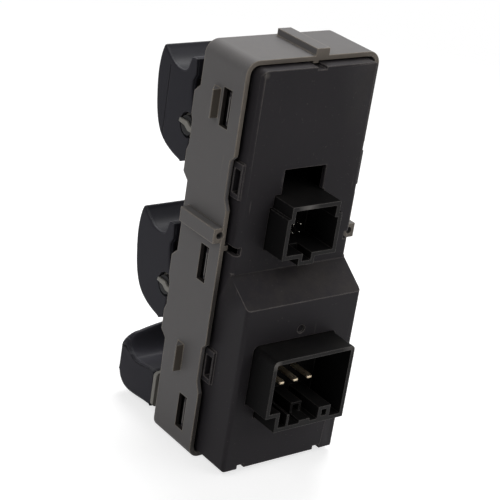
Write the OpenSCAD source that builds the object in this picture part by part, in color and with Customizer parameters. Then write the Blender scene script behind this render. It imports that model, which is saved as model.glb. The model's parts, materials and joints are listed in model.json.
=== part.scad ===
// Vehicle door window switch, standing on its lower end.
// X runs across the switch, -Y is the knob side, +Y is the plug side, Z is the long axis.
// The origin is the middle of the lower end of the frame.

/* [Frame] */
// Outer width across the two long walls
frame_w = 46.4; // [44:0.2:52]
// Outer length from end to end, without the key rib
frame_h = 122; // [120:1:130]
// Depth from the back rim to the front ledge
frame_depth = 19.3; // [18.5:0.1:22]
// Wall thickness
frame_wall = 1.4; // [1.2:0.1:1.7]
// Radius of the upper end corners
frame_top_r = 4; // [2.5:0.5:6]
// Radius of the lower end corners
frame_bottom_r = 3.5; // [1:0.5:4]
// Inward reach of the front flange
flange_reach = 1.5; // [1:0.1:1.8]
// Thickness of the front flange
flange_t = 1.2; // [0.8:0.1:1.6]
// Rise of the pivot ears above the front ledge
ear_rise = 2.4; // [1.5:0.1:3]
// Dip in the middle of each pivot ear
ear_dip = 0.8; // [0.3:0.1:1.2]
// Length of each snap slot along Z
slot_len = 10.9; // [9:0.1:12]
// Height of each snap slot along Y
slot_tall = 3.7; // [3:0.1:4.5]
// Distance from the back rim to the nearer side of the slots
slot_back = 4.9; // [4:0.1:6]
// Depth of the notches in the back edge of the long walls
notch_depth = 1.5; // [0.8:0.1:2]
// Length of the flat floor of each notch
notch_len = 11; // [9:0.5:12]
// Reach of the retention lugs beyond the long walls
lug_reach = 2.6; // [1.2:0.1:3]
// Length of each retention lug along Z
lug_len = 8.4; // [6:0.2:10]
// Distance from the back rim to the catch face of the lugs
lug_back = 9.8; // [9.4:0.1:11]

/* [Screw bosses] */
// Radius of the screw holes
screw_r = 1.1; // [0.9:0.05:1.3]
// Depth of the screw holes
screw_depth = 13; // [8:1:14]
// Length of the screw bosses along Y
boss_len = 16.6; // [15.5:0.1:18.5]
// Height of the screw bosses along Z
boss_tall = 4.4; // [4:0.1:6]
// Reach of the screw bosses beyond the long walls
boss_reach = 2.6; // [2.2:0.1:3.5]
// Height of the right boss above the lower end
boss_right_z = 71.5; // [68:0.5:74]
// Height of the left boss above the lower end
boss_left_z = 66.6; // [66:0.2:74]

/* [End key rib] */
// Width of the key rib on the upper end
key_w = 4.6; // [3:0.1:6]
// Rise of the key rib above the upper end
key_rise = 2.1; // [1:0.1:3]
// Distance of the key rib from the middle plane
key_x = -2.1; // [-6:0.1:6]
// Length of the key rib from the back rim
key_len = 18; // [10:0.1:19]

/* [Rear cover] */
// Gap between the cover and the inside of the frame walls
cover_gap = 1.3; // [1:0.1:1.6]
// Gap between the cover and the inside of the frame ends
cover_end_gap = 0.5; // [0.3:0.1:0.9]
// Wall thickness of the cover
cover_wall = 1.6; // [1.2:0.1:2]
// Height of the upper back face above the rim
cover_low_y = 3.4; // [2.8:0.1:5]
// Height of the lower back face above the rim
cover_high_y = 12.9; // [11:0.1:15]
// Height above the lower end at which the slope begins
slope_low_z = 53.7; // [52:0.1:55]
// Length of the slope along Z
slope_len = 6.7; // [4:0.1:7]
// Radius of the long back edges
cover_edge_r = 1.2; // [0.6:0.1:2.4]
// Width of the window above the small plug socket
window_w = 14.6; // [10:0.1:16]
// Length of the window along Z
window_len = 7.6; // [4:0.1:10]
// Radius of the small dimple on the lower back face
dimple_r = 1.3; // [0.8:0.1:2]
// Gap around each socket where it passes through the cover
socket_gap = 0.25; // [0.15:0.05:0.4]
// Radius of the pillars that press on the circuit board
pillar_r = 2; // [1.5:0.1:2.5]

/* [Rockers] */
// Distance between the upper and lower rocker pivots
rocker_pitch = 50; // [49:0.5:54]
// Height of the lower rocker pivots above the lower end
rocker_low_z = 44.2; // [44:0.1:46]
// Gap between the two columns of rocker caps
column_gap = 1.6; // [1:0.1:3]
// Distance from the middle plane to the outer side of the caps
cap_half = 20.8; // [20.4:0.1:21.2]
// Distance from the back rim to the pivot axes
pivot_y = 25.8; // [25.5:0.1:27]
// Radius of the pivot trunnions
trunnion_r = 2.9; // [2.4:0.1:3.1]
// Running gap around the trunnions
trunnion_gap = 0.05; // [0.03:0.01:0.1]
// Gap between a trunnion and the cut-out in the cap
cutout_gap = 0.9; // [0.6:0.1:1.2]
// Wall thickness of the caps
cap_wall = 1.6; // [1.2:0.1:1.8]
// Thickness of the side plates of the rocker cores
core_plate = 1.8; // [1.4:0.1:2]
// Thickness of the light clips outside the trunnions
clip_t = 0.7; // [0.5:0.05:0.8]
// Gap between a core plate and its post
post_gap = 0.4; // [0.3:0.05:0.6]
// Thickness of the deck posts
post_t = 2.2; // [1.6:0.1:2.6]
// Half thickness of the fingers that drive the contact sliders
finger_r = 1.2; // [0.9:0.1:1.3]
// Width of the fingers
finger_w = 3; // [2:0.1:4]
// Radius of the rounded front corners of the caps
cap_corner_r = 1.2; // [0.6:0.1:3]

/* [Lock-out rocker] */
// Height of its pivot above the lower end
lock_z = 9.6; // [9.4:0.1:10.4]
// Radius of the arched finger lip
lip_arch_r = 62; // [50:1:120]
// Height of the finger lip above its pivot
lip_rise = 12.8; // [12:0.1:14]
// Radius of the two upper corners of the lip
lip_corner_r = 5; // [2:0.5:6]
// Thickness of the light collar at its base
collar_t = 1.5; // [1:0.1:1.8]
// Height of the collar along Z
collar_tall = 11.6; // [10.6:0.1:12]

/* [Deck and sliders] */
// Gap between the deck and the inside of the frame
deck_gap = 0.3; // [0.2:0.05:0.4]
// Thickness of the deck
deck_t = 2; // [1.6:0.1:2.4]
// Thickness of the skirt around the deck
skirt_t = 1.5; // [1.2:0.1:1.6]
// Width of the contact sliders
slider_w = 8; // [6.5:0.1:8.4]
// Length of the contact sliders along Z
slider_len = 9; // [7:0.1:10]
// Gap between a slider and what guides it
slider_gap = 0.3; // [0.2:0.05:0.4]
// Gap between a finger and the fork of its slider
fork_gap = 0.35; // [0.3:0.05:0.45]
// Thickness of the contact wipers
wiper_t = 0.3; // [0.2:0.05:0.4]

/* [Circuit board] */
// Thickness of the circuit board
board_t = 1.6; // [1.2:0.1:2]
// Distance from the back rim to the cover side of the board
board_y = 9.9; // [9.5:0.1:10.5]
// Thickness of the contact pads
pad_t = 0.1; // [0.05:0.05:0.15]
// Width of the contact pads and wipers
pad_w = 5.2; // [3:0.2:6]
// Length of each contact pad along Z
pad_len = 2.2; // [1.6:0.1:2.6]
// Pitch of the contact pads
pad_pitch = 3; // [2.8:0.1:3.4]
// Side of the main control chip
main_chip = 10; // [7:0.5:12]
// Side of the two driver chips
driver_chip = 6; // [4:0.5:7]
// Thickness of the chips
chip_t = 1.5; // [1:0.1:2]
// Radius of the capacitors
can_r = 3.1; // [2:0.1:4]
// Length of the capacitors
can_len = 10; // [7:0.5:12]
// Distance of the capacitors from the middle plane
can_x = 12; // [9:0.5:14]

/* [Small plug socket] */
// Width over the wider lower part
small_w = 19.2; // [17:0.1:21]
// Height along Z
small_tall = 16; // [14:0.1:16.4]
// Height of its lower wall above the lower end
small_z = 67.1; // [66.5:0.1:68]
// Distance of its middle from the middle plane
small_x = 0.7; // [-1:0.1:1]
// Height of its mouth above the rim
small_mouth_y = 11.6; // [9:0.1:14]
// Height of its floor above the rim
small_floor_y = -1.5; // [-4:0.1:0]
// Wall thickness of both sockets
socket_wall = 1.3; // [1:0.1:1.5]
// Side step near its upper wall
small_step = 1.1; // [0.6:0.1:1.2]
// Width of the key pocket in its lower wall
small_key_w = 5.7; // [4.5:0.1:7]
// Depth of the key pocket
small_key_drop = 2.3; // [1.5:0.1:2.6]
// Side of its square pins
pin_side = 0.64; // [0.5:0.01:0.8]
// Pitch of its pins
pin_pitch = 2.5; // [2:0.01:3]
// Height of the pin tips above the rim
pin_tip_y = 5; // [3:0.1:8]

/* [Large plug socket] */
// Width of the large socket
large_w = 29.1; // [28.6:0.1:31]
// Height of the large socket along Z
large_tall = 23.4; // [22:0.1:25]
// Height of its lower wall above the lower end
large_z = 18.5; // [17.5:0.1:19.5]
// Distance of its middle from the middle plane
large_x = 1.25; // [-2:0.05:2]
// Height of its mouth above the rim
large_mouth_y = 22.3; // [19.5:0.1:25]
// Height of its floor above the rim
large_floor_y = 8; // [6:0.1:9]
// Width of the blade terminals
blade_w = 1.9; // [1.2:0.1:2.8]
// Thickness of the blade terminals
blade_t = 0.8; // [0.5:0.05:1]
// Pitch of the blade terminals
blade_pitch = 5.05; // [4:0.05:6]
// Height of the blade tips above the rim
blade_tip_y = 16; // [13:0.1:18]
// Play around the terminals in their holes
terminal_play = 0.05; // [0.02:0.01:0.1]

/* [Hidden] */
$fn = 48;
// Small overlap that makes cuts run clear of a face
eps = 0.5;

frame_grey = [0.44, 0.43, 0.42];
cover_black = [0.13, 0.12, 0.12];
socket_black = [0.08, 0.08, 0.08];
cap_charcoal = [0.16, 0.16, 0.18];
core_grey = [0.66, 0.64, 0.60];
deck_black = [0.10, 0.10, 0.10];
board_dark = [0.06, 0.08, 0.07];
brass = [0.72, 0.56, 0.30];

// Frame
half_w = frame_w / 2;
inner_half = half_w - frame_wall;
inner_bottom = frame_wall;
inner_top = frame_h - frame_wall;
ledge_y = -frame_depth;
ear_y = ledge_y - ear_rise;
slot_y0 = -slot_back - slot_tall;
rocker_high_z = rocker_low_z + rocker_pitch;
// Least radius of an inner corner
least_r = 0.6;
// Snap slots of one long wall: the middle one ends below the screw boss of that wall
slot_boss_gap = 0.7;
function slot_zs(side) = [
  lock_z - 2.9,
  min(
    rocker_low_z + 10.6,
    (side > 0 ? boss_right_z : boss_left_z) - boss_tall / 2 - slot_len - slot_boss_gap
  ),
  frame_h - 21
];
notch_zs = [rocker_low_z - 19.4, frame_h - 39.8];
notch_ramp_low = 3.2;
notch_ramp_high = 1.6;
lug_zs = [rocker_low_z - 19.8, frame_h - 19.4];
// Length of the ramp of a lug, and of the flat at its tip
lug_ramp = 2.6;
lug_tip = 0.6;
boss_x = half_w + boss_reach / 2 - frame_wall / 2 - 0.1;
boss_out = half_w + boss_reach;
boss_back = 0.4;
// Skin of the long wall behind a boss
boss_skin = 0.4;
boss_in = inner_half + boss_skin;
nub_w = 1.8;
nub_len = 2.4;
nub_drop = 0.7;

// Cover
cover_half = inner_half - cover_gap;
cover_z0 = inner_bottom + cover_end_gap;
cover_z1 = inner_top - cover_end_gap;
slope_high_z = slope_low_z + slope_len;
cover_corner_r = max(frame_top_r - frame_wall - cover_end_gap, least_r);
hook_len = slot_len - 1.4;
hook_gap = 0.3;
hook_reach = half_w - cover_half - 0.4;
latch_t = 0.9;
latch_front_y = -7;
latch_back_y = 2.2;
latch_window_len = 7;
latch_window_tall = 2.6;
// Tab of the frame that keys into a side notch of the cover
tab_z = notch_zs[1] - 15.4;
tab_tall = 1.4;
tab_gap = 0.5;
pillar_x = cover_half - cover_wall - 2.9;
pillar_zs = [cover_z0 + 6.3, cover_z1 - 7.8];
foot_notch_x = 14;
foot_notch_w = 2.4;
foot_notch_tall = 1.2;

// Deck and board
deck_front_y = ledge_y + flange_t;
deck_back_y = deck_front_y + deck_t;
board_back_y = -board_y;
board_front_y = board_back_y - board_t;
board_half = cover_half - 0.2;
board_z0 = cover_z0 + 0.6;
board_z1 = cover_z1 - 0.6;
lamp_w = 3;
lamp_len = 1.6;
lamp_t = 0.9;

// Rocker stations: middle x, pivot z, outer side of the posts, reach of the trunnions to -X and +X
cap_w = cap_half - column_gap / 2;
column_x = column_gap / 2 + cap_w / 2;
core_out = cap_w / 2 - cap_wall;
core_in = core_out - core_plate;
post_out = core_in - post_gap;
axis_y = -pivot_y;
trunnion_end_gap = 0.2;
lock_core_out = cap_half - cap_wall;
// Where the cap ends and its collar begins, from the pivot
collar_y = 0.6;
lock_post_out = lock_core_out - core_plate - post_gap;
lock_reach = core_plate + post_gap - trunnion_end_gap;
// The outer trunnions end at the clips, the inner ones short of the caps' sides
rocker_reach = core_plate + post_gap + cap_wall - trunnion_end_gap;
clip_gap = 0.3;
clip_reach = core_plate + post_gap + cap_wall + clip_gap;
stations = [
  [column_x, rocker_high_z, post_out, [rocker_reach, clip_reach]],
  [-column_x, rocker_high_z, post_out, [clip_reach, rocker_reach]],
  [column_x, rocker_low_z, post_out, [rocker_reach, clip_reach]],
  [-column_x, rocker_low_z, post_out, [clip_reach, rocker_reach]],
  [0, lock_z, lock_post_out, [lock_reach, lock_reach]]
];
// The fingers end inside the forks of the sliders
slider_front_y = deck_back_y + slider_gap;
wiper_back_y = board_front_y - pad_t - 0.2;
slider_back_y = wiper_back_y - wiper_t;
finger_tip_y = slider_front_y + slider_gap + finger_r;
finger_reach = finger_tip_y - axis_y;
fork_floor = finger_tip_y + finger_r + 0.2;
slot_half_z = finger_r + 2.1;

// Sockets
small_top_z = small_z + small_tall;
small_step_z = small_top_z - 3.6;
small_key_x = small_x + 0.75;
pin_mid_x = small_x + 0.45;
pin_mid_z = small_z + 5.95;
pin_tail = 1.1;
pin_point = 0.7;
large_top_z = large_z + large_tall;
large_left = large_x - large_w / 2;
large_right = large_x + large_w / 2;
large_corner_x = large_right - 3.8;
large_corner_z = large_z + 5.1;
blade_z = large_z + large_tall / 2;
// Chips between the sockets and above the small one, and the cans beside the blades' tails
main_chip_z = board_z1 - 9.5 - main_chip;
driver_x = 7;
driver_z = small_z - small_key_drop - 3 - driver_chip;
can_rise = can_r + 3;

// Side outline of a rocker cap as [y, z] from its pivot: finger scoop on top, bulged front face
cap_outline = [
  [1.7, -2.4], [0.9, -10.4], [-1.5, -11.6], [-2.9, -11.4], [-5.7, -10.8], [-8.4, -9.9],
  [-10.8, -8.7], [-12.8, -7.1], [-14.3, -5.1], [-15.4, -2.8], [-16.3, 0], [-17, 3.5],
  [-17.5, 7], [-17.7, 10.5], [-17.5, 13.5], [-17, 16.2], [-16.2, 18.2], [-15.4, 18.7],
  [-14.2, 17.7], [-11.2, 15.7], [-8.4, 14.7], [-5.6, 14.7], [-4, 15.6],
  [-3.3, 17.4], [-2.6, 19.2], [-1.2, 19.7], [0.1, 19.5], [0.7, 15.2], [-0.4, 13],
  [-0.3, 11.1], [1.4, 3.8]
];
// Side outline of the hollow inside a rocker cap, open towards the frame
cap_hollow = [
  [3, -9], [-1.4, -9.7], [-5.4, -9], [-8.8, -7.8], [-11.3, -6.1], [-13, -4], [-14.2, -1.2],
  [-15.3, 3.4], [-16, 9.4], [-15.8, 13.6], [-14.8, 15.4], [-11.6, 13.8], [-8.6, 13], [-5, 13],
  [-2.2, 14], [3, 13]
];
// Side outline of the lock-out cap as [y, z] from its pivot
lock_outline = [
  [0.6, -6.2], [-4, -6.7], [-8, -7.2], [-11.5, -7.5], [-13.5, -7.3], [-15.2, -6.8],
  [-16.6, -5.8], [-17.6, -4.5], [-18.2, -3], [-18.4, -1.4], [-18.4, 6.5], [-18.1, 9.2],
  [-17.5, lip_rise - 1.6], [-16.6, lip_rise - 0.4], [-15.8, lip_rise], [-15.1, lip_rise - 0.5],
  [-14.3, 9.8], [-13.4, 7.6], [-12.2, 5.9], [-10.8, 4.9], [-9.2, 4.6], [-6, 5.1], [0.6, 6.5]
];
lock_hollow = [
  [3, -4.2], [-4.3, -5.2], [-11.3, -5.9], [-14.2, -5.2], [-16, -3.2], [-16.7, -0.8], [-16.7, 5],
  [-16.2, 7.4], [-14.8, 5.6], [-12.6, 3.5], [-9.6, 2.8], [-6, 3.4], [0, 4.6], [3, 4.7]
];

// Least and greatest value of an outline along one of its axes
function least(outline, axis) = min([for (p = outline) p[axis]]);
function most(outline, axis) = max([for (p = outline) p[axis]]);

// The pieces are drawn with Y = 0 at the back rim of the frame, then moved over the origin
module placed() {
  translate([0, frame_depth / 2, 0])
    children();
}

// The area under an arched top edge with rounded ends, in [x, z]
module arched_top(half, rise, arch_r, r) {
  // Height of the arch where the rounded ends begin
  end_top = rise - arch_r + sqrt(pow(arch_r, 2) - pow(half - r, 2));
  intersection() {
    translate([0, rise - arch_r])
      circle(r = arch_r, $fn = 160);
    union() {
      translate([-half, -arch_r])
        square([2 * half, arch_r + end_top - r]);
      translate([-half + r, -arch_r])
        square([2 * (half - r), arch_r + rise]);
      for (side = [-1, 1])
        translate([side * (half - r), end_top - r])
          circle(r = r);
    }
  }
}

// A solid that is extruded along X from a [y, z] outline
module along_x(x0, x1) {
  translate([x0, 0, 0])
    rotate([90, 0, 90])
      linear_extrude(x1 - x0)
        children();
}

// A solid that is extruded along Y from an [x, z] outline
module along_y(y0, y1) {
  translate([0, y1, 0])
    rotate([90, 0, 0])
      linear_extrude(y1 - y0)
        children();
}

// A box given by its two corners
module span(low, high) {
  translate(low)
    cube(high - low);
}

// A round bar along X
module bar_x(x0, x1, r) {
  translate([x0, 0, 0])
    rotate([0, 90, 0])
      cylinder(r = r, h = x1 - x0);
}

// A round bar along Y
module bar_y(y0, y1, r) {
  translate([0, y1, 0])
    rotate([90, 0, 0])
      cylinder(r = r, h = y1 - y0);
}

// An upright rectangle in [x, z] with rounded upper and lower corners
module upright(half, z0, z1, top_r, bottom_r) {
  translate([-half, z0 + bottom_r])
    square([2 * half, z1 - top_r - z0 - bottom_r]);
  translate([-half + bottom_r, z0])
    square([2 * (half - bottom_r), z1 - z0 - top_r]);
  translate([-half + top_r, z1 - 2 * top_r])
    square([2 * (half - top_r), 2 * top_r]);
  for (side = [-1, 1]) {
    translate([side * (half - top_r), z1 - top_r])
      circle(r = top_r);
    translate([side * (half - bottom_r), z0 + bottom_r])
      circle(r = bottom_r);
  }
}

// Outline of the frame, or of what fits inside it at some inset
module frame_outline(inset) {
  upright(
    half_w - inset, inset, frame_h - inset,
    max(frame_top_r - inset, least_r), max(frame_bottom_r - inset, least_r)
  );
}

// Pivot ear that rises from the front edge of a long wall, with a dip in its middle
module ear_outline(z) {
  polygon([
    [ledge_y, z - 13.9], [ear_y, z - 11.9], [ear_y, z - 5.5], [ear_y + ear_dip, z - 3.5],
    [ear_y + ear_dip, z + 3.5], [ear_y, z + 5.5], [ear_y, z + 12.2], [ledge_y, z + 14.6],
    [ledge_y + eps, z + 14.6], [ledge_y + eps, z - 13.9]
  ]);
}

// Trapezoid notch in the back edge of a long wall
module notch_outline(z) {
  polygon([
    [eps, z - notch_ramp_low], [0, z - notch_ramp_low], [-notch_depth, z],
    [-notch_depth, z + notch_len], [0, z + notch_len + notch_ramp_high],
    [eps, z + notch_len + notch_ramp_high]
  ]);
}

// Wedge lug with its catch face towards the back
module lug(z) {
  translate([half_w - 0.2, 0, z])
    linear_extrude(lug_len)
      polygon([
        [0, -lug_back - lug_tip - lug_ramp], [0.2, -lug_back - lug_tip - lug_ramp],
        [lug_reach + 0.2, -lug_back - lug_tip], [lug_reach + 0.2, -lug_back], [0, -lug_back]
      ]);
}

// Block of a screw boss, from the skin of the long wall outwards
module boss_block(side, out) {
  z = side > 0 ? boss_right_z : boss_left_z;
  span(
    [side > 0 ? boss_in : -out, -boss_back - boss_len, z - boss_tall / 2],
    [side > 0 ? out : -boss_in, -boss_back, z + boss_tall / 2]
  );
}

module screw_bosses() {
  color(frame_grey) placed()
    for (side = [-1, 1])
      difference() {
        boss_block(side, boss_out);
        translate([side * boss_x, 0, side > 0 ? boss_right_z : boss_left_z])
          bar_y(-boss_back - screw_depth, eps, screw_r);
      }
}

module frame() {
  color(frame_grey) placed() {
    difference() {
      union() {
        along_y(ledge_y, 0)
          frame_outline(0);
        for (z = [rocker_low_z, rocker_high_z])
          for (side = [-1, 1])
            along_x(side > 0 ? inner_half : -half_w, side > 0 ? half_w : -inner_half)
              ear_outline(z);
      }
      along_y(deck_front_y, eps)
        frame_outline(frame_wall);
      along_y(ledge_y - eps, deck_front_y + eps)
        frame_outline(frame_wall + flange_reach);
      for (side = [-1, 1])
        for (z = slot_zs(side))
          span(
            [side > 0 ? inner_half - eps : -half_w - eps, slot_y0, z],
            [side > 0 ? half_w + eps : -inner_half + eps, -slot_back, z + slot_len]
          );
      for (z = notch_zs)
        along_x(-half_w - eps, half_w + eps)
          notch_outline(z);
      for (side = [-1, 1]) {
        boss_block(side, half_w + eps);
        translate([side * boss_x, 0, side > 0 ? boss_right_z : boss_left_z])
          bar_y(-boss_back - eps, eps, screw_r);
      }
    }
    for (z = lug_zs) {
      lug(z);
      mirror([1, 0, 0])
        lug(z);
    }
    // Key rib along the upper end, and the nub that locates the cover
    span([key_x - key_w / 2, -key_len, frame_h - 0.5], [key_x + key_w / 2, 0, frame_h + key_rise]);
    span([-nub_w / 2, -nub_len, inner_top - nub_drop], [nub_w / 2, 0, inner_top + 0.2]);
    for (side = [0, 1])
      mirror([side, 0, 0])
        span([cover_half, -1.3, tab_z], [inner_half + 0.2, 0, tab_z + tab_tall]);
  }
}

// Outline of the cover in [x, y] at one back face height, with rounded long edges
module cover_plan(y_back, inset) {
  w = cover_half - inset;
  y = y_back - inset;
  r = max(cover_edge_r - inset / 2, 0.4);
  union() {
    translate([-w, board_back_y - (inset > 0 ? eps : 0)])
      square([2 * w, y - r - board_back_y + (inset > 0 ? eps : 0)]);
    translate([-w + r, y - 2 * r])
      square([2 * (w - r), 2 * r]);
    for (side = [-1, 1])
      translate([side * (w - r), y - r])
        circle(r = r);
  }
}

// The outer or inner form of the cover, with its ends rounded inside the frame
module cover_form(inset) {
  intersection() {
    cover_steps(inset);
    along_y(board_back_y - 1, cover_high_y)
      upright(
        cover_half - inset, cover_z0 + inset, cover_z1 - inset,
        max(cover_corner_r - inset, least_r), least_r
      );
  }
}

// The cover is deep below its slope and shallow above it
module cover_steps(inset) {
  z0 = cover_z0 + inset;
  z1 = cover_z1 - inset;
  // The slope moves along itself by the wall thickness
  shift = inset * (sqrt(pow(slope_len, 2) + pow(cover_high_y - cover_low_y, 2)) - slope_len)
    / (cover_high_y - cover_low_y);
  translate([0, 0, slope_high_z - eps])
    linear_extrude(z1 - slope_high_z + eps)
      cover_plan(cover_low_y, inset);
  intersection() {
    translate([0, 0, z0])
      linear_extrude(slope_high_z + eps - z0)
        cover_plan(cover_high_y, inset);
    along_x(-cover_half - eps, cover_half + eps)
      polygon([
        [board_back_y - 1, z0 - eps], [cover_high_y + eps, z0 - eps],
        [cover_high_y + eps, slope_low_z - shift], [cover_high_y - inset, slope_low_z - shift],
        [cover_low_y - inset, slope_high_z - shift], [cover_low_y - inset, slope_high_z + 1],
        [board_back_y - 1, slope_high_z + 1]
      ]);
  }
}

// Snap hook that reaches into a slot of the frame
module cover_hook(z) {
  translate([cover_half - 0.2, 0, z + (slot_len - hook_len) / 2])
    linear_extrude(hook_len)
      polygon([
        [0, slot_y0 + hook_gap], [0.2, slot_y0 + hook_gap],
        [hook_reach + 0.2, -slot_back - hook_gap - 1],
        [hook_reach + 0.2, -slot_back - hook_gap], [0, -slot_back - hook_gap]
      ]);
}

// Raised latch pad beside a notch of the frame
module latch_pad(z) {
  span([cover_half - 0.2, latch_front_y, z + 0.5], [cover_half + latch_t, latch_back_y, z + notch_len]);
}

module latch_window(z) {
  low = (notch_len - latch_window_len) / 2;
  span(
    [cover_half - cover_wall - eps, latch_back_y - 0.7 - latch_window_tall, z + low],
    [cover_half + latch_t + eps, latch_back_y - 0.7, z + low + latch_window_len]
  );
}

module rear_cover() {
  color(cover_black) placed()
    difference() {
      union() {
        difference() {
          cover_form(0);
          cover_form(cover_wall);
        }
        for (side = [0, 1])
          mirror([side, 0, 0]) {
            for (z = slot_zs(1 - 2 * side))
              cover_hook(z);
            for (z = notch_zs)
              latch_pad(z);
            translate([pillar_x, 0, pillar_zs[0]])
              bar_y(board_back_y, cover_high_y - cover_wall + 0.2, pillar_r);
            translate([pillar_x, 0, pillar_zs[1]])
              bar_y(board_back_y, cover_low_y - cover_wall + 0.2, pillar_r);
          }
      }
      for (side = [0, 1])
        mirror([side, 0, 0]) {
          for (z = notch_zs)
            latch_window(z);
          // Small notches in the lower edge of the deep back face
          span(
            [foot_notch_x - foot_notch_w / 2, cover_high_y - cover_wall - 2, cover_z0 - eps],
            [foot_notch_x + foot_notch_w / 2, cover_high_y + eps, cover_z0 + foot_notch_tall]
          );
        }
      // Holes for the two sockets, the window and the dimple
      small_section(socket_gap, cover_low_y - cover_wall - eps, cover_high_y + eps, false);
      small_section(socket_gap, cover_low_y + 0.1, cover_high_y + eps, true);
      span(
        [-window_w / 2, cover_low_y - cover_wall - eps, small_top_z - 1],
        [window_w / 2, cover_low_y + eps, small_top_z + window_len]
      );
      large_section(socket_gap, cover_high_y - cover_wall - eps, cover_high_y + eps);
      translate([0, 0, slope_low_z - 8.8])
        bar_y(cover_high_y - 0.6, cover_high_y + eps, dimple_r);
      // Side notch that takes the tab of the frame
      for (side = [0, 1])
        mirror([side, 0, 0])
          span(
            [cover_half - cover_wall - 0.4, -2, tab_z - tab_gap],
            [cover_half + eps, cover_low_y + eps, tab_z + tab_tall + tab_gap]
          );
      // Notch that takes the nub of the frame
      span(
        [-nub_w / 2 - 0.7, -nub_len - 0.7, cover_z1 - 0.9],
        [nub_w / 2 + 0.7, cover_low_y + eps, cover_z1 + eps]
      );
    }
}

// Section of the small socket, grown outwards by grow or inwards by a negative grow
module small_section(grow, y0, y1, with_key) {
  mid = small_w / 2 + grow;
  upper = mid - small_step;
  along_y(y0, y1)
    union() {
      translate([small_x - mid, small_z - grow])
        square([2 * mid, small_step_z - small_z + 2 * grow]);
      translate([small_x - upper, small_z - grow])
        square([2 * upper, small_tall + 2 * grow]);
      if (with_key)
        translate([small_key_x - small_key_w / 2 - grow, small_z - small_key_drop - grow])
          square([small_key_w + 2 * grow, small_key_drop + 4]);
    }
}

module small_socket() {
  color(socket_black) placed()
    difference() {
      union() {
        small_section(0, board_back_y, cover_low_y, false);
        small_section(0, cover_low_y, small_mouth_y, false);
        // The key pocket stands proud of the cover only
        along_y(cover_low_y + 0.2, small_mouth_y)
          translate([small_key_x - small_key_w / 2, small_z - small_key_drop])
            square([small_key_w, small_key_drop + 1]);
      }
      small_section(-socket_wall, small_floor_y, small_mouth_y + eps, false);
      along_y(cover_low_y + 0.2 + socket_wall, small_mouth_y + eps)
        translate([small_key_x - small_key_w / 2 + socket_wall, small_z - small_key_drop + socket_wall])
          square([small_key_w - 2 * socket_wall, small_key_drop + 1]);
      // Hollow behind the floor
      small_section(-socket_wall - 0.6, board_back_y - eps, small_floor_y - 2, false);
      for (i = [-0.5, 0.5])
        for (j = [-0.5, 0.5])
          translate([pin_mid_x + i * pin_pitch, 0, pin_mid_z + j * pin_pitch])
            span(
              [-pin_side / 2 - terminal_play, small_floor_y - 2 - eps, -pin_side / 2 - terminal_play],
              [pin_side / 2 + terminal_play, small_floor_y + eps, pin_side / 2 + terminal_play]
            );
    }
}

// A square pin with a pyramid tip
module pin() {
  half = pin_side / 2;
  span([-half, board_front_y - pin_tail, -half], [half, pin_tip_y - pin_point, half]);
  translate([0, pin_tip_y - pin_point, 0])
    rotate([-90, 45, 0])
      cylinder(r1 = half * sqrt(2), r2 = half / 2, h = pin_point, $fn = 4);
}

module small_pins() {
  color(brass) placed()
    for (i = [-0.5, 0.5])
      for (j = [-0.5, 0.5])
        translate([pin_mid_x + i * pin_pitch, 0, pin_mid_z + j * pin_pitch])
          pin();
}

// Section of the large socket: a rectangle with its lower right corner cut away
module large_section(grow, y0, y1) {
  r = max(1.4 + grow, 0.3);
  along_y(y0, y1)
    union() {
      translate([large_left - grow, large_z - grow])
        square([large_corner_x + grow - large_left + grow, large_tall + 2 * grow - r]);
      translate([large_left - grow, large_corner_z - grow])
        square([large_w + 2 * grow, large_top_z - large_corner_z + 2 * grow - r]);
      translate([large_left - grow + r, large_top_z + grow - 2 * r])
        square([large_w + 2 * grow - 2 * r, 2 * r]);
      for (x = [large_left - grow + r, large_right + grow - r])
        translate([x, large_top_z + grow - r])
          circle(r = r);
    }
}

module large_socket() {
  floor_z = large_z + socket_wall;
  color(socket_black) placed() {
    difference() {
      large_section(0, board_back_y, large_mouth_y);
      large_section(-socket_wall, large_floor_y, large_mouth_y + eps);
      large_section(-socket_wall, board_back_y - eps, large_floor_y - 2);
      for (i = [-1:1])
        translate([large_x + i * blade_pitch, 0, blade_z])
          span(
            [-blade_w / 2 - terminal_play, large_floor_y - 2 - eps, -blade_t / 2 - terminal_play],
            [blade_w / 2 + terminal_play, large_floor_y + eps, blade_t / 2 + terminal_play]
          );
    }
    // Divider rib, low key, hollow square key and arched key on the lower wall
    span([large_x + 5.9, large_floor_y - 1, floor_z - 0.2], [large_x + 6.7, large_mouth_y, large_corner_z]);
    span([large_x - 2, large_floor_y - 1, floor_z - 0.2], [large_x + 1.9, large_mouth_y, floor_z + 0.9]);
    difference() {
      span(
        [large_x - 9.3, large_floor_y - 1, floor_z - 0.2],
        [large_x - 4.8, large_mouth_y, large_corner_z]
      );
      span(
        [large_x - 7.9, large_mouth_y - 8, floor_z + 0.6],
        [large_x - 6.2, large_mouth_y + eps, large_corner_z - 1.1]
      );
    }
    difference() {
      span(
        [large_x - 2, large_floor_y - 1, floor_z - 0.2],
        [large_x + 1.9, large_mouth_y - 4.6, floor_z + 4.1]
      );
      span(
        [large_x - 1.2, large_floor_y + 0.4, floor_z + 0.9],
        [large_x + 1.1, large_mouth_y, floor_z + 3.3]
      );
    }
  }
}

module large_blades() {
  chamfer = 0.35;
  color(brass) placed()
    for (i = [-1:1])
      translate([large_x + i * blade_pitch, 0, blade_z - blade_t / 2])
        linear_extrude(blade_t)
          polygon([
            [-blade_w / 2, board_front_y - pin_tail], [blade_w / 2, board_front_y - pin_tail],
            [blade_w / 2, blade_tip_y - chamfer], [blade_w / 2 - chamfer, blade_tip_y],
            [-blade_w / 2 + chamfer, blade_tip_y], [-blade_w / 2, blade_tip_y - chamfer]
          ]);
}

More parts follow.
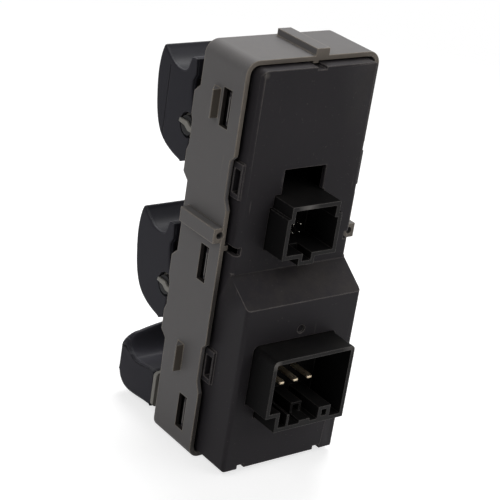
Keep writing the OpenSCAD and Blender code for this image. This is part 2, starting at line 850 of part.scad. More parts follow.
// A deck post with a trunnion on its outer side; side is +1 or -1 from the rocker middle
module post(out, side, reach) {
  x0 = side > 0 ? out - post_t : -out;
  x1 = side > 0 ? out : -out + post_t;
  span([x0, axis_y, -trunnion_r], [x1, deck_front_y + 0.2, trunnion_r]);
  translate([0, axis_y, 0])
    bar_x(x0, x1, trunnion_r);
  translate([0, axis_y, 0])
    bar_x(side > 0 ? out - 0.2 : -out - reach, side > 0 ? out + reach : -out + 0.2, trunnion_r);
}

module switch_deck() {
  color(deck_black) placed()
    difference() {
      union() {
        along_y(deck_front_y, deck_back_y)
          frame_outline(frame_wall + deck_gap);
        // Skirt that presses the board against the cover
        difference() {
          along_y(deck_front_y, board_front_y)
            frame_outline(frame_wall + deck_gap);
          along_y(deck_front_y - eps, board_front_y + eps)
            frame_outline(frame_wall + deck_gap + skirt_t);
        }
        for (s = stations)
          translate([s[0], 0, s[1]]) {
            for (side = [-1, 1])
              post(s[2], side, s[3][side > 0 ? 1 : 0]);
            // Rails that guide the contact slider
            for (side = [0, 1])
              mirror([side, 0, 0])
                span(
                  [slider_w / 2 + slider_gap, deck_back_y - 0.2, -slider_len / 2 - 2],
                  [slider_w / 2 + slider_gap + 1, slider_back_y, slider_len / 2 + 2]
                );
          }
      }
      for (s = stations)
        translate([s[0], 0, s[1]])
          span(
            [-finger_w / 2 - 0.8, deck_front_y - eps, -slot_half_z],
            [finger_w / 2 + 0.8, deck_back_y + eps, slot_half_z]
          );
      // Light holes over the indicator lamps
      for (s = stations)
        translate([s[0], 0, s[1] + led_rise(s)])
          bar_y(deck_front_y - eps, deck_back_y + eps, 1.6);
    }
}

// Height of an indicator lamp above its rocker pivot
function led_rise(s) = s[1] == lock_z ? 9.6 : -11.5;

// Light spring clips on the inner side of the ears, one across each outer trunnion
module pivot_clips() {
  color(core_grey) placed()
    for (z = [rocker_low_z, rocker_high_z])
      for (side = [0, 1])
        mirror([side, 0, 0])
          translate([0, axis_y, z])
            along_x(cap_half + clip_gap, cap_half + clip_gap + clip_t)
              polygon([
                [-3.1, 0.3], [-2.9, 1.4], [0.7, 1.5], [2, 0.6], [ledge_y - axis_y, 0.4],
                [ledge_y - axis_y, -1.1], [1.4, -1], [-0.2, 0]
              ]);
}

module circuit_board() {
  color(board_dark) placed()
    difference() {
      along_y(board_front_y, board_back_y)
        upright(board_half, board_z0, board_z1, cover_corner_r, least_r);
      for (i = [-0.5, 0.5])
        for (j = [-0.5, 0.5])
          translate([pin_mid_x + i * pin_pitch, 0, pin_mid_z + j * pin_pitch])
            bar_y(board_front_y - eps, board_back_y + eps, pin_side / sqrt(2) + terminal_play);
      for (i = [-1:1])
        translate([large_x + i * blade_pitch, 0, blade_z])
          bar_y(board_front_y - eps, board_back_y + eps, blade_w / 2 + 0.15);
    }
}

module contact_pads() {
  color(brass) placed()
    for (s = stations)
      for (j = [-1:1])
        translate([s[0], 0, s[1] + j * pad_pitch])
          span([-pad_w / 2, board_front_y - pad_t, -pad_len / 2], [pad_w / 2, board_front_y, pad_len / 2]);
}

module control_chips() {
  color(socket_black) placed() {
    span(
      [-main_chip / 2, board_back_y, main_chip_z],
      [main_chip / 2, board_back_y + chip_t, main_chip_z + main_chip]
    );
    for (side = [0, 1])
      mirror([side, 0, 0])
        span(
          [driver_x, board_back_y, driver_z],
          [driver_x + driver_chip, board_back_y + chip_t, driver_z + driver_chip]
        );
  }
}

module capacitors() {
  color([0.30, 0.30, 0.32]) placed()
    for (x = [-can_x, can_x])
      translate([x, 0, large_top_z + can_rise])
        bar_y(board_back_y, board_back_y + can_len, can_r);
}

module indicator_leds() {
  color([0.9, 0.88, 0.8]) placed()
    for (s = stations)
      translate([s[0], 0, s[1] + led_rise(s)])
        span(
          [-lamp_w / 2, board_front_y - lamp_t, -lamp_len / 2],
          [lamp_w / 2, board_front_y, lamp_len / 2]
        );
}

// A cap from its side outline, with rounded front corners in plan
module cap_body(half, outline) {
  r = cap_corner_r;
  front = axis_y + least(outline, 0);
  back = axis_y + most(outline, 0) + eps;
  low = least(outline, 1) - eps;
  intersection() {
    translate([0, axis_y, 0])
      along_x(-half, half)
        polygon(outline);
    translate([0, 0, low])
      linear_extrude(most(outline, 1) + eps - low)
        union() {
          translate([-half, front + r])
            square([2 * half, back - front - r]);
          translate([-half + r, front])
            square([2 * (half - r), 2 * r]);
          for (side = [-1, 1])
            translate([side * (half - r), front + r])
              circle(r = r);
        }
  }
}

module rocker_cap(s) {
  half = cap_w / 2;
  color(cap_charcoal) placed()
    translate([s[0], 0, s[1]])
      difference() {
        cap_body(half, cap_outline);
        translate([0, axis_y, 0])
          along_x(-half + cap_wall, half - cap_wall)
            polygon(cap_hollow);
        // Cut-outs that clear the trunnions
        translate([0, axis_y, 0])
          bar_x(-half - eps, half + eps, trunnion_r + cutout_gap);
        span(
          [-half - eps, axis_y, -trunnion_r - 0.3],
          [half + eps, axis_y + 5, trunnion_r + cutout_gap - 0.4]
        );
      }
}

module cap_lockout() {
  color(cap_charcoal) placed()
    translate([0, 0, lock_z])
      difference() {
        intersection() {
          cap_body(cap_half, lock_outline);
          // The lip is arched across the cap and rounded at its ends
          along_y(axis_y + least(lock_outline, 0) - eps, axis_y + most(lock_outline, 0) + eps)
            arched_top(cap_half, lip_rise, lip_arch_r, lip_corner_r);
        }
        translate([0, axis_y, 0])
          along_x(-cap_half + cap_wall, cap_half - cap_wall)
            polygon(lock_hollow);
      }
}

// Light core inside a rocker cap: two side plates on the trunnions, a bridge and the finger
module rocker_core(s) {
  color(core_grey) placed()
    translate([s[0], axis_y, s[1]])
      difference() {
        union() {
          for (side = [0, 1])
            mirror([side, 0, 0])
              along_x(core_in, core_out)
                union() {
                  circle(r = trunnion_r + 1.5);
                  polygon([[-12.2, -3], [-12.6, 11], [-9, 11.4], [1, 4], [1, -4], [-8, -6]]);
                }
          span([-core_in - 0.2, -12.4, -2], [core_in + 0.2, -10.9, 11]);
          span([-finger_w / 2, -11, -finger_r], [finger_w / 2, finger_reach, finger_r]);
          translate([0, finger_reach, 0])
            bar_x(-finger_w / 2, finger_w / 2, finger_r);
        }
        for (side = [0, 1])
          mirror([side, 0, 0])
            bar_x(core_in - eps, core_out + eps, trunnion_r + trunnion_gap);
      }
}

module core_lockout() {
  plate_in = lock_core_out - core_plate;
  color(core_grey) placed()
    translate([0, axis_y, lock_z])
      difference() {
        union() {
          // Collar that shows below the cap
          difference() {
            along_y(collar_y, collar_y + collar_t)
              union() {
                translate([-cap_half - 0.2, -collar_tall / 2 + 1.4])
                  square([2 * cap_half + 0.4, collar_tall - 2.8]);
                translate([-cap_half + 1.2, -collar_tall / 2])
                  square([2 * cap_half - 2.4, collar_tall]);
                for (side = [-1, 1])
                  for (end = [-1, 1])
                    translate([side * (cap_half - 1.2), end * (collar_tall / 2 - 1.4)])
                      circle(r = 1.4);
              }
            span(
              [-plate_in, collar_y - eps, -trunnion_r - 1],
              [plate_in, collar_y + collar_t + eps, trunnion_r + 1]
            );
          }
          for (side = [0, 1])
            mirror([side, 0, 0])
              along_x(plate_in, lock_core_out)
                union() {
                  circle(r = trunnion_r + 1.1);
                  translate([-12.4, -3.6])
                    square([13.8, 5.6]);
                }
          span([-plate_in - 0.2, -12.4, -3.6], [plate_in + 0.2, -10.9, 2]);
          span([-finger_w / 2, -11, -finger_r], [finger_w / 2, finger_reach, finger_r]);
          translate([0, finger_reach, 0])
            bar_x(-finger_w / 2, finger_w / 2, finger_r);
        }
        for (side = [0, 1])
          mirror([side, 0, 0])
            bar_x(plate_in - eps, lock_core_out + eps, trunnion_r + trunnion_gap);
      }
}

// Contact slider with the fork that takes the finger
module slider(s) {
  fork = finger_r + fork_gap;
  color(core_grey) placed()
    translate([s[0], 0, s[1]])
      difference() {
        span([-slider_w / 2, slider_front_y, -slider_len / 2], [slider_w / 2, slider_back_y, slider_len / 2]);
        span([-finger_w / 2 - 0.5, slider_front_y - eps, -fork], [finger_w / 2 + 0.5, fork_floor, fork]);
      }
}

module wiper(s) {
  color(brass) placed()
    translate([s[0], 0, s[1]])
      span(
        [-pad_w / 2, slider_back_y, -slider_len / 2 + 0.6],
        [pad_w / 2, wiper_back_y, slider_len / 2 - 0.6]
      );
}

frame();
screw_bosses();
rear_cover();
switch_deck();
circuit_board();
small_socket();
small_pins();
large_socket();
large_blades();
pivot_clips();
contact_pads();
control_chips();
capacitors();
indicator_leds();
rocker_cap(stations[0]);  // cap_upper_right
rocker_cap(stations[1]);  // cap_upper_left
rocker_cap(stations[2]);  // cap_lower_right
rocker_cap(stations[3]);  // cap_lower_left
cap_lockout();
rocker_core(stations[0]);  // core_upper_right
rocker_core(stations[1]);  // core_upper_left
rocker_core(stations[2]);  // core_lower_right
rocker_core(stations[3]);  // core_lower_left
core_lockout();
slider(stations[0]);  // slider_upper_right
slider(stations[1]);  // slider_upper_left
slider(stations[2]);  // slider_lower_right
slider(stations[3]);  // slider_lower_left
slider(stations[4]);  // slider_lockout
wiper(stations[0]);  // wiper_upper_right
wiper(stations[1]);  // wiper_upper_left
wiper(stations[2]);  // wiper_lower_right
wiper(stations[3]);  // wiper_lower_left
wiper(stations[4]);  // wiper_lockout
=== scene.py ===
import bpy
import bmesh
import json
import math
from mathutils import Matrix, Vector


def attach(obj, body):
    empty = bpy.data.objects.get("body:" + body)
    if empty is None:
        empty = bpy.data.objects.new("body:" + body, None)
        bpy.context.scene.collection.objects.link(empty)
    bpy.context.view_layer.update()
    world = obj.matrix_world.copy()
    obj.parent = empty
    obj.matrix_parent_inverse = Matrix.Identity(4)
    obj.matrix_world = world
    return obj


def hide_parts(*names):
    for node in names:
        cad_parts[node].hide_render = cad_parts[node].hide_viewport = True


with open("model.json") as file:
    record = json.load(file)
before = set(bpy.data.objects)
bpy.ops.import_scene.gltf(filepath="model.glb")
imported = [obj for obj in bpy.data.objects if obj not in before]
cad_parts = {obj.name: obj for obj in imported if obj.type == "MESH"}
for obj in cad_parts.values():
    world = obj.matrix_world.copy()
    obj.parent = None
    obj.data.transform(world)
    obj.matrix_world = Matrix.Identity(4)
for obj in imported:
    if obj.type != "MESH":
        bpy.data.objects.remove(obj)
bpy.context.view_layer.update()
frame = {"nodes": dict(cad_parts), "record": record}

nodes = frame["nodes"]
scene = bpy.context.scene
mm = 0.001
print("stage: frame loaded,", len(nodes), "nodes")


# Camera
shot = {
    "place": (283.35, 334.10, 250.87),
    "right": (-0.7987, 0.58402, 0.14491),
    "down": (0.13242, 0.4055, -0.90445),
    "forward": (-0.58698, -0.7032, -0.4012),
    "lens": 118.65, "sensor": 36, "clip": (0.02, 20),
}


def addCamera():
    data = bpy.data.cameras.new("shotCamera")
    data.sensor_fit = "HORIZONTAL"
    data.sensor_width = shot["sensor"]
    data.lens = shot["lens"]
    data.clip_start, data.clip_end = shot["clip"]
    camera = bpy.data.objects.new("shotCamera", data)
    up, back = [-v for v in shot["down"]], [-v for v in shot["forward"]]
    turn = Matrix((shot["right"], up, back)).transposed()
    camera.matrix_world = Matrix.Translation(Vector(shot["place"]) * mm) @ turn.normalized().to_4x4()
    scene.collection.objects.link(camera)
    scene.camera = camera


addCamera()


# Shared effects for the materials
def newGroup(name, ins, outs):
    group = bpy.data.node_groups.new(name, "ShaderNodeTree")
    for label, kind, value in ins:
        socket = group.interface.new_socket(label, in_out="INPUT", socket_type=kind)
        socket.default_value = value
    for label, kind in outs:
        group.interface.new_socket(label, in_out="OUTPUT", socket_type=kind)
    start = group.nodes.new("NodeGroupInput")
    end = group.nodes.new("NodeGroupOutput")
    start.location = (-900, 0)
    end.location = (700, 0)
    return group, start, end


def put(tree, kind, x, y, **settings):
    node = tree.nodes.new(kind)
    node.location = (x, y)
    for key, value in settings.items():
        setattr(node, key, value)
    return node


def math2(tree, operation, a, b, x, y, clamp=False):
    node = put(tree, "ShaderNodeMath", x, y, operation=operation, use_clamp=clamp)
    for socket, value in zip(node.inputs, (a, b)):
        if isinstance(value, (int, float)):
            socket.default_value = value
        else:
            tree.links.new(value, socket)
    return node.outputs[0]


def spread(tree, value, low, high, x, y, toLow=0.0, toHigh=1.0):
    node = put(tree, "ShaderNodeMapRange", x, y, clamp=True)
    tree.links.new(value, node.inputs["Value"])
    node.inputs["From Min"].default_value = low
    node.inputs["From Max"].default_value = high
    node.inputs["To Min"].default_value = toLow
    node.inputs["To Max"].default_value = toHigh
    return node.outputs["Result"]


# Mould texture: fine pits over a soft cloud of tone, and a few specks
grainLook = {
    "scale": 2600.0, "detail": 3, "roughness": 0.62, "pitScale": 0.8, "depth": 0.55,
    "cloudScale": 55.0, "cloudDetail": 5, "cloudRoughness": 0.55, "cloud": (0.3, 0.7),
    "speckScale": 1500, "speckDetail": 2, "speck": (0.69, 0.76),
}


def mouldGrainGroup():
    group, start, end = newGroup(
        "mouldGrain",
        [
            ("Grain Scale", "NodeSocketFloat", grainLook["scale"]),
            ("Cloud Scale", "NodeSocketFloat", grainLook["cloudScale"]),
        ],
        [("Height", "NodeSocketFloat"), ("Cloud", "NodeSocketFloat"), ("Speck", "NodeSocketFloat")],
    )
    where = put(group, "ShaderNodeTexCoord", -900, -250)
    fine = put(group, "ShaderNodeTexNoise", -600, 200)
    fine.inputs["Detail"].default_value = grainLook["detail"]
    fine.inputs["Roughness"].default_value = grainLook["roughness"]
    pits = put(group, "ShaderNodeTexVoronoi", -600, -60, feature="SMOOTH_F1")
    cloud = put(group, "ShaderNodeTexNoise", -600, -320)
    cloud.inputs["Detail"].default_value = grainLook["cloudDetail"]
    cloud.inputs["Roughness"].default_value = grainLook["cloudRoughness"]
    speck = put(group, "ShaderNodeTexNoise", -600, -580)
    speck.inputs["Scale"].default_value = grainLook["speckScale"]
    speck.inputs["Detail"].default_value = grainLook["speckDetail"]
    for node in (fine, pits, cloud, speck):
        group.links.new(where.outputs["Object"], node.inputs["Vector"])
    group.links.new(start.outputs["Grain Scale"], fine.inputs["Scale"])
    pitScale = math2(group, "MULTIPLY", start.outputs["Grain Scale"], grainLook["pitScale"], -780, -60)
    group.links.new(pitScale, pits.inputs["Scale"])
    group.links.new(start.outputs["Cloud Scale"], cloud.inputs["Scale"])
    both = math2(group, "ADD", fine.outputs["Fac"], pits.outputs["Distance"], -300, 120)
    group.links.new(math2(group, "MULTIPLY", both, grainLook["depth"], -120, 120), end.inputs["Height"])
    clouds = spread(group, cloud.outputs["Fac"], *grainLook["cloud"], -300, -320)
    specks = spread(group, speck.outputs["Fac"], *grainLook["speck"], -300, -580)
    group.links.new(clouds, end.inputs["Cloud"])
    group.links.new(specks, end.inputs["Speck"])
    return group


# Worn corners with a painted edge highlight: where the surface turns within the radius, broken up by noise
wearSheenLook = {
    "radius": 0.0003, "samples": 6, "turn": (0.996, 0.94), "breakup": 0.4,
    "noiseScale": 420, "noiseDetail": 4, "noise": (0.35, 0.6),
}


def edgeWearSheenGroup():
    group, start, end = newGroup(
        "edgeWearSheen",
        [
            ("Radius", "NodeSocketFloat", wearSheenLook["radius"]),
            ("Breakup", "NodeSocketFloat", wearSheenLook["breakup"]),
        ],
        [("Mask", "NodeSocketFloat"), ("Normal", "NodeSocketVector")],
    )
    soft = put(group, "ShaderNodeBevel", -600, 150, samples=wearSheenLook["samples"])
    group.links.new(start.outputs["Radius"], soft.inputs["Radius"])
    hard = put(group, "ShaderNodeNewGeometry", -600, -100)
    dot = put(group, "ShaderNodeVectorMath", -400, 100, operation="DOT_PRODUCT")
    group.links.new(soft.outputs["Normal"], dot.inputs[0])
    group.links.new(hard.outputs["Normal"], dot.inputs[1])
    group.links.new(soft.outputs["Normal"], end.inputs["Normal"])
    turn = spread(group, dot.outputs["Value"], *wearSheenLook["turn"], -200, 100)
    where = put(group, "ShaderNodeTexCoord", -800, -400)
    noise = put(group, "ShaderNodeTexNoise", -600, -400)
    noise.inputs["Scale"].default_value = wearSheenLook["noiseScale"]
    noise.inputs["Detail"].default_value = wearSheenLook["noiseDetail"]
    group.links.new(where.outputs["Object"], noise.inputs["Vector"])
    wornSheen = spread(group, noise.outputs["Fac"], *wearSheenLook["noise"], -400, -400)
    keep = math2(group, "SUBTRACT", 1.0, start.outputs["Breakup"], -400, -200)
    mixed = math2(group, "MULTIPLY", wornSheen, start.outputs["Breakup"], -200, -400)
    total = math2(group, "ADD", mixed, keep, 0, -300)
    group.links.new(math2(group, "MULTIPLY", turn, total, 200, 0, clamp=True), end.inputs["Mask"])
    return group


# Short faint rub marks that run roughly one way
scuffLook = {
    "turn": (0.4, 0.7, 0.3), "stretch": (900, 900, 70), "scale": 1.0, "detail": 1, "line": (0.7, 0.78),
    "patchScale": 130, "patch": (0.52, 0.66),
}


def scuffGroup():
    group, start, end = newGroup(
        "scuffMarks",
        [("Scale", "NodeSocketFloat", scuffLook["scale"])],
        [("Mask", "NodeSocketFloat")],
    )
    where = put(group, "ShaderNodeTexCoord", -900, 0)
    turned = put(group, "ShaderNodeMapping", -700, 0)
    turned.inputs["Rotation"].default_value = scuffLook["turn"]
    turned.inputs["Scale"].default_value = scuffLook["stretch"]
    marks = put(group, "ShaderNodeTexNoise", -500, 0)
    marks.inputs["Detail"].default_value = scuffLook["detail"]
    patch = put(group, "ShaderNodeTexNoise", -500, -300)
    patch.inputs["Scale"].default_value = scuffLook["patchScale"]
    group.links.new(where.outputs["Object"], turned.inputs["Vector"])
    group.links.new(turned.outputs["Vector"], marks.inputs["Vector"])
    group.links.new(start.outputs["Scale"], marks.inputs["Scale"])
    group.links.new(where.outputs["Object"], patch.inputs["Vector"])
    line = spread(group, marks.outputs["Fac"], *scuffLook["line"], -300, 0)
    area = spread(group, patch.outputs["Fac"], *scuffLook["patch"], -300, -300)
    group.links.new(math2(group, "MULTIPLY", line, area, 0, 0), end.inputs["Mask"])
    return group


# Thin dust on what faces up, in loose patches
dustLook = {"upward": (0.1, 0.8), "patchScale": 90.0, "detail": 6, "roughness": 0.7, "patch": (0.4, 0.7)}


def dustGroup():
    group, start, end = newGroup(
        "settledDust",
        [("Patch Scale", "NodeSocketFloat", dustLook["patchScale"])],
        [("Mask", "NodeSocketFloat")],
    )
    face = put(group, "ShaderNodeNewGeometry", -700, 200)
    parts = put(group, "ShaderNodeSeparateXYZ", -500, 200)
    group.links.new(face.outputs["Normal"], parts.inputs["Vector"])
    upward = spread(group, parts.outputs["Z"], *dustLook["upward"], -300, 200)
    where = put(group, "ShaderNodeTexCoord", -700, -150)
    patch = put(group, "ShaderNodeTexNoise", -500, -150)
    patch.inputs["Detail"].default_value = dustLook["detail"]
    patch.inputs["Roughness"].default_value = dustLook["roughness"]
    group.links.new(where.outputs["Object"], patch.inputs["Vector"])
    group.links.new(start.outputs["Patch Scale"], patch.inputs["Scale"])
    loose = spread(group, patch.outputs["Fac"], *dustLook["patch"], -300, -150)
    group.links.new(math2(group, "MULTIPLY", upward, loose, 0, 0), end.inputs["Mask"])
    return group


mouldGrain = mouldGrainGroup()
edgeWearSheen = edgeWearSheenGroup()
scuffMarks = scuffGroup()
settledDust = dustGroup()


def useGroup(tree, group, x, y, label, value):
    node = put(tree, "ShaderNodeGroup", x, y, node_tree=group)
    node.inputs[label].default_value = value
    return node


def blendColour(tree, mask, low, high, x, y):
    # A Mix node's colours are its sockets 6 and 7, and its mixed colour is output 2
    node = put(tree, "ShaderNodeMix", x, y, data_type="RGBA")
    tree.links.new(mask, node.inputs["Factor"])
    for socket, value in ((node.inputs[6], low), (node.inputs[7], high)):
        if isinstance(value, tuple):
            socket.default_value = (*value, 1)
        else:
            tree.links.new(value, socket)
    return node.outputs[2]


def newMaterial(name):
    material = bpy.data.materials.new(name)
    material.use_nodes = True
    tree = material.node_tree
    tree.nodes.clear()
    out = put(tree, "ShaderNodeOutputMaterial", 900, 0)
    shader = put(tree, "ShaderNodeBsdfPrincipled", 600, 0)
    tree.links.new(shader.outputs["BSDF"], out.inputs["Surface"])
    return material, tree, shader


# Moulded plastics: pale is the tone of their cloudy patches, and the rub colour is that of scuffs and of
# worn corners, where it also stands as a painted highlight along the edges.
# Below the heights of low, in metres, the tone turns to lowColour. Each of the marks has its place, its
# inner and outer radius in mm, and its colour.
plastics = {
    "framePlastic": {
        "colour": (0.143, 0.137, 0.137), "pale": (0.161, 0.154, 0.152), "rub": (0.40, 0.345, 0.28),
        "wearSheenAmount": 0.85, "wearSheenRadius": 0.0006, "speckColour": (0.26, 0.25, 0.23), "speckAmount": 0.25,
        "rough": (0.52, 0.64), "grain": 0.12, "grainScale": 2400, "specular": 0.18, "scuffAmount": 0.12,
        "dust": (0.30, 0.28, 0.25), "dustAmount": 0.10,
    },
    # Painted highlight: a paler copy of the frame plastic for the back rim and the rib ends, with a darker
    # tone low down
    "rimHighlight": {
        "colour": (0.150, 0.132, 0.115), "pale": (0.215, 0.186, 0.155), "rub": (0.56, 0.49, 0.40),
        "low": (0.055, 0.070), "lowColour": (0.075, 0.068, 0.062),
        "wearSheenAmount": 0.9, "wearSheenRadius": 0.0003, "speckColour": (0.10, 0.09, 0.08), "speckAmount": 0.4,
        "rough": (0.45, 0.60), "grain": 0.15, "grainScale": 2400, "specular": 0.2, "scuffAmount": 0.10,
    },
    # Painted shade: a darker copy of the frame plastic for the lugs' catch faces, which face away from the
    # light
    "lugShade": {
        "colour": (0.112, 0.096, 0.079), "pale": (0.132, 0.114, 0.094), "rub": (0.40, 0.36, 0.30),
        "wearSheenAmount": 0.85, "wearSheenRadius": 0.0003, "speckColour": (0.14, 0.13, 0.11), "speckAmount": 0.2,
        "rough": (0.50, 0.62), "grain": 0.12, "grainScale": 2400, "specular": 0.12, "scuffAmount": 0.05,
    },
    "coverPlastic": {
        "colour": (0.0250, 0.0228, 0.0255), "pale": (0.0310, 0.0282, 0.0312), "rub": (0.21, 0.19, 0.18),
        "wearSheenAmount": 0.8, "wearSheenRadius": 0.00048, "speckColour": (0.12, 0.11, 0.10), "speckAmount": 0.30,
        "rough": (0.48, 0.60), "grain": 0.12, "grainScale": 2200, "specular": 0.09, "scuffAmount": 0.25,
        "dust": (0.085, 0.074, 0.062), "dustAmount": 0.30,
        "marks": [
            ((18.9, 13.0, 118.9), 0.2, 1.2, (0.20, 0.185, 0.165)),
            ((0, 22.0, 44.9), 1.3, 1.9, (0.006, 0.006, 0.006)),
        ],
    },
    "socketPlastic": {
        "colour": (0.0052, 0.0050, 0.0052), "pale": (0.0078, 0.0075, 0.0076), "rub": (0.11, 0.104, 0.10),
        "wearSheenAmount": 0.8, "wearSheenRadius": 0.0003, "speckColour": (0.06, 0.055, 0.05), "speckAmount": 0.22,
        "rough": (0.42, 0.58), "grain": 0.08, "grainScale": 2600, "specular": 0.035, "scuffAmount": 0.12,
        "dust": (0.04, 0.036, 0.032), "dustAmount": 0.15,
    },
    "capPlastic": {
        "colour": (0.0260, 0.0252, 0.0320), "pale": (0.0295, 0.0287, 0.0360), "rub": (0.10, 0.10, 0.11),
        "wearSheenAmount": 0.6, "wearSheenRadius": 0.00030, "speckColour": (0.08, 0.08, 0.08), "speckAmount": 0.06,
        "rough": (0.40, 0.50), "grain": 0.06, "grainScale": 3200, "specular": 0.055, "scuffAmount": 0.05,
        "dust": (0.08, 0.078, 0.078), "dustAmount": 0.05,
    },
    # Painted shade: a darker, shinier copy of the cap plastic for the finger dish of the rocker caps
    "dishShade": {
        "colour": (0.0190, 0.0190, 0.0240), "pale": (0.0215, 0.0215, 0.0270), "rub": (0.13, 0.13, 0.14),
        "wearSheenAmount": 0.6, "wearSheenRadius": 0.00030, "speckColour": (0.08, 0.08, 0.08), "speckAmount": 0.06,
        "rough": (0.36, 0.46), "grain": 0.05, "grainScale": 3200, "specular": 0.10, "scuffAmount": 0.05,
        "dust": (0.09, 0.088, 0.088), "dustAmount": 0.05,
    },
    # Painted light: a paler copy of the cap plastic for the dish of the lock-out cap, which the lamps leave
    # in shade
    "lipLight": {
        "colour": (0.038, 0.037, 0.045), "pale": (0.043, 0.042, 0.051), "rub": (0.14, 0.14, 0.15),
        "wearSheenAmount": 0.5, "wearSheenRadius": 0.00030, "speckColour": (0.09, 0.09, 0.09), "speckAmount": 0.06,
        "rough": (0.36, 0.46), "grain": 0.05, "grainScale": 3200, "specular": 0.10, "scuffAmount": 0.05,
        "dust": (0.09, 0.088, 0.088), "dustAmount": 0.05,
    },
    "mouthPlastic": {
        "colour": (0.022, 0.021, 0.021), "pale": (0.030, 0.029, 0.029), "rub": (0.20, 0.19, 0.18),
        "wearSheenAmount": 0.85, "wearSheenRadius": 0.0003, "speckColour": (0.10, 0.095, 0.09), "speckAmount": 0.3,
        "rough": (0.40, 0.55), "grain": 0.08, "grainScale": 2600, "specular": 0.06, "scuffAmount": 0.25,
        "marks": [
            ((15.3, 31.95, 41.2), 0.4, 2.4, (0.30, 0.28, 0.26)),
            ((-11.5, 31.95, 41.6), 0.4, 3.0, (0.20, 0.19, 0.18)),
            ((3.5, 21.25, 82.6), 0.5, 4.0, (0.22, 0.21, 0.20)),
        ],
    },
    # Painted shade: a near-black copy of the frame plastic for the walls inside the slots
    "slotShade": {
        "colour": (0.030, 0.027, 0.025), "pale": (0.040, 0.036, 0.033), "rub": (0.10, 0.09, 0.08),
        "wearSheenAmount": 0.4, "wearSheenRadius": 0.0002, "speckColour": (0.10, 0.09, 0.08), "speckAmount": 0.2,
        "rough": (0.55, 0.65), "grain": 0.10, "grainScale": 2600, "specular": 0.06, "scuffAmount": 0.05,
    },
    # Painted highlight: pale plastic for the strips on the snap hooks' edges
    "hookGlintPaint": {
        "colour": (0.20, 0.19, 0.18), "pale": (0.30, 0.285, 0.27), "rub": (0.40, 0.38, 0.35),
        "wearSheenAmount": 0.6, "wearSheenRadius": 0.0002, "speckColour": (0.05, 0.05, 0.05), "speckAmount": 0.5,
        "rough": (0.40, 0.55), "grain": 0.10, "grainScale": 2600, "specular": 0.3, "scuffAmount": 0.2,
    },
    "corePlastic": {
        "colour": (0.25, 0.24, 0.215), "pale": (0.29, 0.28, 0.25), "rub": (0.42, 0.40, 0.36),
        "wearSheenAmount": 0.35, "wearSheenRadius": 0.00025, "speckColour": (0.14, 0.13, 0.11), "speckAmount": 0.20,
        "rough": (0.42, 0.55), "grain": 0.05, "grainScale": 2600, "specular": 0.25, "scuffAmount": 0.05,
        "dust": (0.30, 0.28, 0.25), "dustAmount": 0.05,
    },
    "deckPlastic": {
        "colour": (0.020, 0.020, 0.021), "pale": (0.026, 0.026, 0.027), "rub": (0.08, 0.08, 0.08),
        "wearSheenAmount": 0.40, "wearSheenRadius": 0.00025, "speckColour": (0.08, 0.08, 0.07), "speckAmount": 0.15,
        "rough": (0.45, 0.58), "grain": 0.06, "grainScale": 2600, "specular": 0.10, "scuffAmount": 0.08,
        "dust": (0.06, 0.055, 0.05), "dustAmount": 0.12,
    },
    "chipPlastic": {
        "colour": (0.010, 0.010, 0.011), "pale": (0.014, 0.014, 0.014), "rub": (0.05, 0.05, 0.05),
        "wearSheenAmount": 0.30, "wearSheenRadius": 0.0002, "speckColour": (0.06, 0.06, 0.06), "speckAmount": 0.10,
        "rough": (0.50, 0.62), "grain": 0.05, "grainScale": 3800, "specular": 0.12, "scuffAmount": 0.05,
        "dust": (0.05, 0.05, 0.05), "dustAmount": 0.05,
    },
    "boardLaminate": {
        "colour": (0.0055, 0.0075, 0.0065), "pale": (0.0085, 0.0115, 0.0095), "rub": (0.07, 0.08, 0.07),
        "wearSheenAmount": 0.30, "wearSheenRadius": 0.0002, "speckColour": (0.07, 0.08, 0.06), "speckAmount": 0.10,
        "rough": (0.25, 0.38), "grain": 0.03, "grainScale": 1800, "specular": 0.10, "scuffAmount": 0.20,
        "dust": (0.05, 0.05, 0.045), "dustAmount": 0.05,
    },
    "lampResin": {
        "colour": (0.62, 0.61, 0.52), "pale": (0.70, 0.69, 0.60), "rub": (0.80, 0.79, 0.72),
        "wearSheenAmount": 0.30, "wearSheenRadius": 0.00015, "speckColour": (0.5, 0.5, 0.4), "speckAmount": 0.05,
        "rough": (0.20, 0.30), "grain": 0.02, "grainScale": 3000, "specular": 0.50, "scuffAmount": 0.02,
        "dust": (0.5, 0.5, 0.45), "dustAmount": 0.05,
    },
}
plasticSurface = {"wornSmoother": 0.12, "grainDepth": 0.00012}


